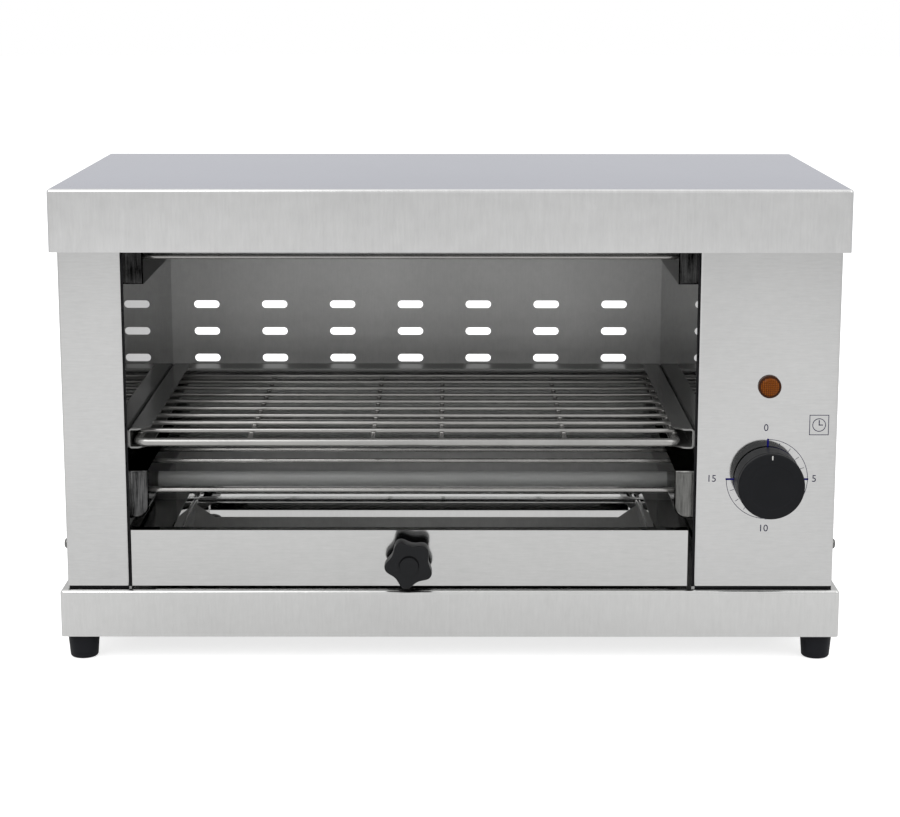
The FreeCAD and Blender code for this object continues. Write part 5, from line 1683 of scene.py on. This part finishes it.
@dataclass
class DialPrint:
    """The timer's printed dial on the control panel: two rings, ticks, numbers and a clock sign."""

    proud: float = 0.06
    outer_ring: float = 24.6
    inner_ring: float = 20.2
    ring_width: float = 0.34
    minutes: int = 15
    sweep: float = 270.0
    tick: Pair = (0.28, 2.6)
    tick_gap: float = 0.6
    heavy_tick: Pair = (1.2, 5.4)
    heavy_gap: float = -0.5
    heavy_every: int = 5
    number_height: float = 4.4
    letter_size: float = 1.38
    numbers: tuple[tuple[str, float, float], ...] = (
        ("0", 190.9, 145.5), ("5", 220.8, 114.0), ("10", 190.8, 83.0), ("15", 158.6, 114.0),
    )
    sign_low: Pair = (216.9, 141.1)
    sign_high: Pair = (228.7, 153.6)
    sign_line: float = 0.42
    clock_radius: float = 4.1
    clock_line: float = 0.45

    def build(self, paints: Paints) -> None:
        """Print the fine parts and the heavy ticks.

        Args:
            paints: Every finish, by its name.
        """
        x, _, z = middle_of(*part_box("timer_knob"))
        centre = (x, z)
        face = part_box("control_casing")[0].y
        fine = [self.ring(radius, centre, face) for radius in (self.outer_ring, self.inner_ring)]
        heavy = []
        for minute in range(self.minutes + 1):
            angle = math.radians(self.sweep * minute / self.minutes)
            bold = minute % self.heavy_every == 0
            width, length = self.heavy_tick if bold else self.tick
            start = self.inner_ring + (self.heavy_gap if bold else self.tick_gap)
            stroke = self.stroke(width, length, start, angle, centre, face)
            (heavy if bold else fine).append(stroke)
        fine += [self.number(text, x, z, face) for text, x, z in self.numbers]
        fine += self.clock_sign(face)
        print_piece = Bench.join("dial_print", fine)
        Bench.fit(print_piece, Body.FRAME, Slot.KNOB, paints["print_ink"])
        ticks = Bench.join("dial_heavy_ticks", heavy)
        Bench.fit(ticks, Body.FRAME, Slot.KNOB, paints["print_ink_heavy"])

    def ring(self, radius: float, centre: Pair, face: float) -> Piece:
        """Spin a short stroke round the dial's sweep.

        Args:
            radius: The ring's radius, in millimetres.
            centre: The dial's middle as x and z.
            face: The panel's face as y.

        Returns:
            The ring.
        """
        half = self.ring_width / 2
        band = self.flat_box((-0.02, 0.0), (radius - half, radius + half))
        Bench.pick_faces(band, lambda middle, normal: normal.x > 0.9)
        steps, angle = int(self.sweep / 3), math.radians(self.sweep)
        bpy.ops.mesh.spin(steps=steps, angle=angle, center=ORIGIN, axis=(0.0, 0.0, 1.0))
        Bench.close_up(MERGE)
        return Bench.stand(band, (centre[0], face, centre[1]), Facing.FRONT)

    def flat_box(self, x: Pair, y: Pair) -> Piece:
        """A film of ink at the origin, facing +Z, from sizes in millimetres."""
        low, high = (x[0] * MM, y[0] * MM, -0.01 * MM), (x[1] * MM, y[1] * MM, self.proud * MM)
        return Bench.block("ink_film", low, high)

    def stroke(
        self, width: float, length: float, start: float, angle: float, centre: Pair,
        face: float,
    ) -> Piece:
        """One tick, turned clockwise from the top of the dial.

        Args:
            width: Its width, in millimetres.
            length: Its length.
            start: Where it starts, from the dial's middle.
            angle: Its turn from the top, in radians.
            centre: The dial's middle as x and z.
            face: The panel's face as y.

        Returns:
            The tick.
        """
        film = self.flat_box((-width / 2, width / 2), (start, start + length))
        Bench.stand(film, ORIGIN, Facing.UP, -angle)
        return Bench.stand(film, (centre[0], face, centre[1]), Facing.FRONT)

    def number(self, text: str, x: float, z: float, face: float) -> Piece:
        """One printed number.

        Args:
            text: The digits.
            x: The number's middle across the panel, in millimetres.
            z: Its height.
            face: The panel's face as y.

        Returns:
            The number.
        """
        Bench.take()
        bpy.ops.object.text_add(location=ORIGIN)
        words = bpy.context.view_layer.objects.active
        words.data.body = text
        words.data.align_x = "CENTER"
        words.data.align_y = "CENTER"
        words.data.size = self.number_height * self.letter_size * MM
        words.data.extrude = self.proud / 2 * MM
        words.data.resolution_u = 4
        bpy.ops.object.convert(target="MESH")
        digits = Bench.named("dial_number")
        return Bench.stand(digits, (x * MM, face - self.proud / 2 * MM, z * MM), Facing.FRONT)

    def clock_sign(self, face: float) -> list[Piece]:
        """A square frame with a small clock in it.

        Args:
            face: The panel's face as y.

        Returns:
            The frame, the clock's ring and its two hands.
        """
        (x0, z0), (x1, z1) = self.sign_low, self.sign_high
        middle = ((x0 + x1) / 2 * MM, face, (z0 + z1) / 2 * MM)
        half_x, half_z, line = (x1 - x0) / 2, (z1 - z0) / 2, self.sign_line
        bars = [
            ((-half_x, half_x), (half_z - line, half_z)), ((-half_x, half_x), (-half_z, line - half_z)),
            ((-half_x, line - half_x), (-half_z, half_z)), ((half_x - line, half_x), (-half_z, half_z)),
            ((-0.3, 0.3), (-0.3, 3.0)), ((-0.3, 2.3), (-0.3, 0.3)),
        ]
        pieces = [Bench.stand(self.flat_box(x, y), middle, Facing.FRONT) for x, y in bars]
        ring = Bench.drum(
            "sign_ring", self.clock_radius * MM, self.proud * MM, ORIGIN, Facing.UP, 48,
            open_ends=True,
        )
        Bench.thicken(ring, self.clock_line * MM)
        pieces.append(Bench.stand(ring, middle, Facing.FRONT))
        return pieces


@dataclass
class PilotLens:
    """The pilot lamp's amber lens, moulded in small pyramids."""

    cells: int = 12
    pyramid: float = 0.32
    grid_size: float = 2.3
    edge: float = 0.5

    def build(self, paints: Paints) -> None:
        """Poke a grid into pyramids, give it depth and trim it to the lens's round.

        Args:
            paints: Every finish, by its name.
        """
        low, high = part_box("lamp_lens")
        radius = (high.x - low.x) / 2
        depth = high.y - low.y
        Bench.take()
        bpy.ops.mesh.primitive_grid_add(
            x_subdivisions=self.cells, y_subdivisions=self.cells, size=self.grid_size * radius,
            location=(0.0, 0.0, depth - self.pyramid * MM),
        )
        lens = Bench.settle(Bench.named("faceted_lens"))
        Bench.edit(lens)
        bpy.ops.mesh.extrude_region_move(TRANSFORM_OT_translate={"value": (0.0, 0.0, -depth)})
        bpy.ops.mesh.select_all(action="SELECT")
        bpy.ops.mesh.normals_make_consistent(inside=False)
        Bench.leave()
        Bench.pick_faces(lens, lambda middle, normal: normal.z > 0.9)
        bpy.ops.mesh.poke(offset=self.pyramid * MM)
        Bench.leave()
        r, top = radius / MM, depth / MM
        bowl = Bench.spun("lens_bowl", [
            (0.0, 0.0), (r, 0.0), (r, top - 1.2), (r - 0.35, top - 0.55),
            (r - self.edge - 0.6, top - 0.15), (r - 2.4, top), (0.0, top),
        ], 64)
        Bench.combine(lens, bowl, "INTERSECT")
        x, _, z = middle_of(low, high)
        Bench.shade(Bench.stand(lens, (x, high.y, z), Facing.FRONT), 12.0)
        Bench.fit(lens, Body.FRAME, Slot.LENS, paints["amber_lens_plastic"], ("lamp_lens",))


@dataclass
class CableGland:
    """The cord's gland on the back: a threaded shank, a hexagon flange and a ribbed dome nut."""

    bore: float = 4.5
    thread: float = 8.0
    shank: float = 10.0
    flange_radius: float = 12.0
    flange: float = 5.0
    nose_radius: float = 9.5
    nose: float = 16.0
    tip_radius: float = 7.6
    threads: int = 5
    thread_pitch: float = 1.6
    ribs: int = 14
    groove_radius: float = 0.55
    groove_length: float = 7.0
    groove_rise: float = 0.8
    hexagon_edge: float = 0.5
    hexagon_hole: float = 8.5

    def build(self, paints: Paints) -> None:
        """Turn the shank and the dome, add the hexagon and cut the grip grooves.

        Args:
            paints: Every finish, by its name.
        """
        low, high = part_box("cable_gland")
        x, _, z = middle_of(low, high)
        seat, nut = self.shank, self.shank + self.flange
        bore, thread, nose, tip = self.bore, self.thread, self.nose_radius, self.tip_radius
        outline = [(bore, 0.0), (thread - 0.6, 0.0), (thread, 0.6)]
        for turn in range(self.threads):
            base = 1.2 + turn * self.thread_pitch
            outline += [(thread, base), (thread - 0.5, base + 0.5), (thread, base + 1.0)]
        end = nut + self.nose
        outline += [
            (thread, seat), (9.0, seat), (9.0, nut), (nose, nut), (nose, nut + 7.5),
            (nose - 0.5, nut + 8.6), (tip + 0.6, end - 2.0), (tip, end - 0.8), (tip - 0.6, end - 0.1),
            (bore + 1.0, end), (bore + 0.2, end - 0.3), (bore, end - 1.0), (bore, 0.0),
        ]
        gland = Bench.spun("ribbed_cable_gland", outline, 56)
        hexagon = Bench.drum(
            "gland_hexagon", self.flange_radius * MM, self.flange * MM, (0.0, 0.0, seat * MM),
            Facing.UP, 6,
        )
        Bench.soften(hexagon, self.hexagon_edge * MM, 2)
        hole = Bench.drum(
            "hexagon_hole", self.hexagon_hole * MM, 2 * self.flange * MM, (0.0, 0.0, (seat - 2) * MM),
            Facing.UP, 48,
        )
        Bench.combine(hexagon, hole, "DIFFERENCE")
        groove = Bench.drum(
            "grip_groove", self.groove_radius * MM, self.groove_length * MM,
            (nose * MM, 0.0, (nut + self.groove_rise) * MM), Facing.UP, 10,
        )
        grooves = []
        for i in range(self.ribs):
            cutter = Bench.copy(groove, "grip_groove", ORIGIN)
            grooves.append(Bench.stand(cutter, ORIGIN, Facing.UP, 2 * math.pi * i / self.ribs))
        bpy.data.objects.remove(groove)
        Bench.combine(gland, Bench.join("grip_grooves", grooves), "DIFFERENCE")
        gland = Bench.join("ribbed_cable_gland", [gland, hexagon])
        Bench.stand(gland, (x, low.y, z), Facing.REAR)
        gland = Bench.shade(gland, 30.0)
        Bench.fit(gland, Body.FRAME, Slot.GLAND, paints["gland_plastic"], ("cable_gland",))


# Studio


@dataclass
class Studio:
    """A pale floor, soft light all round and the photograph's camera."""

    floor_radius: float = 9.0
    floor_drop: float = 0.0002
    floor_tone: float = 0.80
    target: Point = (0.0, 0.0, 0.15)
    world_light: float = 0.72
    direct_lift: float = 0.70
    mirrored_lift: float = 0.2
    lens: float = 88.88
    sensor: float = 36.0
    eye: Point = (-0.00056, -1.42755, 0.4209)
    tilt: float = 11.35
    pan: float = -0.016
    roll: float = -0.04
    lamps: tuple[tuple[str, Point, float, float], ...] = (
        ("key_softbox", (-0.9, -1.3, 1.7), 15.3, 1.4),
        ("fill_softbox", (1.2, -0.9, 1.4), 5.7, 1.4),
        ("top_softbox", (0.0, 0.4, 1.9), 8.0, 2.8),
    )

    def build(self) -> None:
        """Set up the floor, the world, the lamps and the camera."""
        bpy.context.scene.view_settings.view_transform = "Standard"
        self.floor()
        self.world()
        for name, at, power, size in self.lamps:
            self.softbox(name, at, power, size)
        self.camera()
        log.info("studio ready")

    @staticmethod
    def seen_rays(recipe: Recipe) -> Socket:
        """1 for rays from the camera, a mirror or glass, and 0 for rays that carry light.

        Args:
            recipe: The recipe of the material or world.

        Returns:
            The mask.
        """
        path = recipe.add("ShaderNodeLightPath")
        seen = recipe.math("MAXIMUM", path.outputs["Is Camera Ray"], path.outputs["Is Glossy Ray"])
        return recipe.math("MAXIMUM", seen, path.outputs["Is Transmission Ray"])

    def floor(self) -> None:
        """A wide pale disc that shows white and keeps the toaster's shadow."""
        Bench.take()
        bpy.ops.mesh.primitive_circle_add(
            vertices=96, radius=self.floor_radius, fill_type="NGON", location=(0.0, 0.0, -self.floor_drop)
        )
        disc = Bench.settle(Bench.named("studio_floor"))
        material, r, shader, place = start_material("floor_paper")
        tone = r.noise(place.outputs["Object"], 3.0, 2.0, 0.5)
        pale = r.math("ADD", self.floor_tone, r.swing(tone, 0.01))
        tint = r.add("ShaderNodeCombineColor")
        r.fill(tint, Red=pale, Green=pale, Blue=pale)
        r.fill(shader, Base_Color=tint.outputs[0], Roughness=1.0, Specular_IOR_Level=0.0)
        path = r.add("ShaderNodeLightPath")
        mirrored = r.math("MULTIPLY", self.seen_rays(r), self.mirrored_lift)
        direct = r.math("MULTIPLY", path.outputs["Is Camera Ray"], self.direct_lift - self.mirrored_lift)
        lift = r.add("ShaderNodeEmission")
        r.fill(lift, Color=WHITE, Strength=r.math("ADD", mirrored, direct))
        total = r.add("ShaderNodeAddShader")
        r.feed(total.inputs[0], shader.outputs[0])
        r.feed(total.inputs[1], lift.outputs[0])
        output = next(n for n in material.node_tree.nodes if n.type == "OUTPUT_MATERIAL")
        r.feed(output.inputs["Surface"], total.outputs[0])
        disc.data.materials.append(material)

    def world(self) -> None:
        """An even white surround: 1 where it is seen, less where it only lights."""
        world = bpy.data.worlds.new("studio_surround")
        bpy.context.scene.world = world
        world.use_nodes = True
        r = Recipe(world.node_tree)
        back = next(n for n in world.node_tree.nodes if n.type == "BACKGROUND")
        extra = r.math("MULTIPLY", self.seen_rays(r), 1.0 - self.world_light)
        r.fill(back, Color=WHITE, Strength=r.math("ADD", self.world_light, extra))

    def softbox(self, name: str, at: Point, power: float, size: float) -> None:
        """One square lamp that looks at the toaster's middle.

        Args:
            name: The lamp's name.
            at: Its place.
            power: Its power, in watts.
            size: The length of its sides, in metres.
        """
        Bench.take()
        bpy.ops.object.light_add(type="AREA", location=at)
        lamp = bpy.context.view_layer.objects.active
        lamp.name = name
        lamp.data.energy = power
        lamp.data.size = size
        aim = Vector(self.target) - Vector(at)
        lamp.rotation_euler = aim.to_track_quat("-Z", "Y").to_euler()

    def camera(self) -> None:
        """The photograph's camera."""
        Bench.take()
        turn = (math.radians(90.0 - self.tilt), math.radians(self.roll), math.radians(self.pan))
        bpy.ops.object.camera_add(location=self.eye, rotation=turn)
        camera = bpy.context.view_layer.objects.active
        camera.name = "photo_camera"
        camera.data.sensor_fit = "HORIZONTAL"
        camera.data.sensor_width = self.sensor
        camera.data.lens = self.lens
        camera.data.clip_start = 0.05
        camera.data.clip_end = 60.0
        bpy.context.scene.camera = camera


def main() -> None:
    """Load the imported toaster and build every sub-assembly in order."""
    logging.basicConfig(level=logging.INFO, format="%(name)s %(message)s")
    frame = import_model()
    Studio().build()
    paints = Paints()
    CarriedNodes().dress(frame["nodes"], paints)
    for assembly in (
        Screws(), Feet(), GapShadeStrips(), RolledBrackets(), FoldedRails(), FoldedTray(), WireRack(), GuardWires(),
        Heaters(), StarKnob(), TimerKnob(), DialPrint(), PilotLens(), CableGland(),
    ):
        assembly.build(paints)
        log.info("%s done", type(assembly).__name__)


if __name__ == "__main__":
    main()
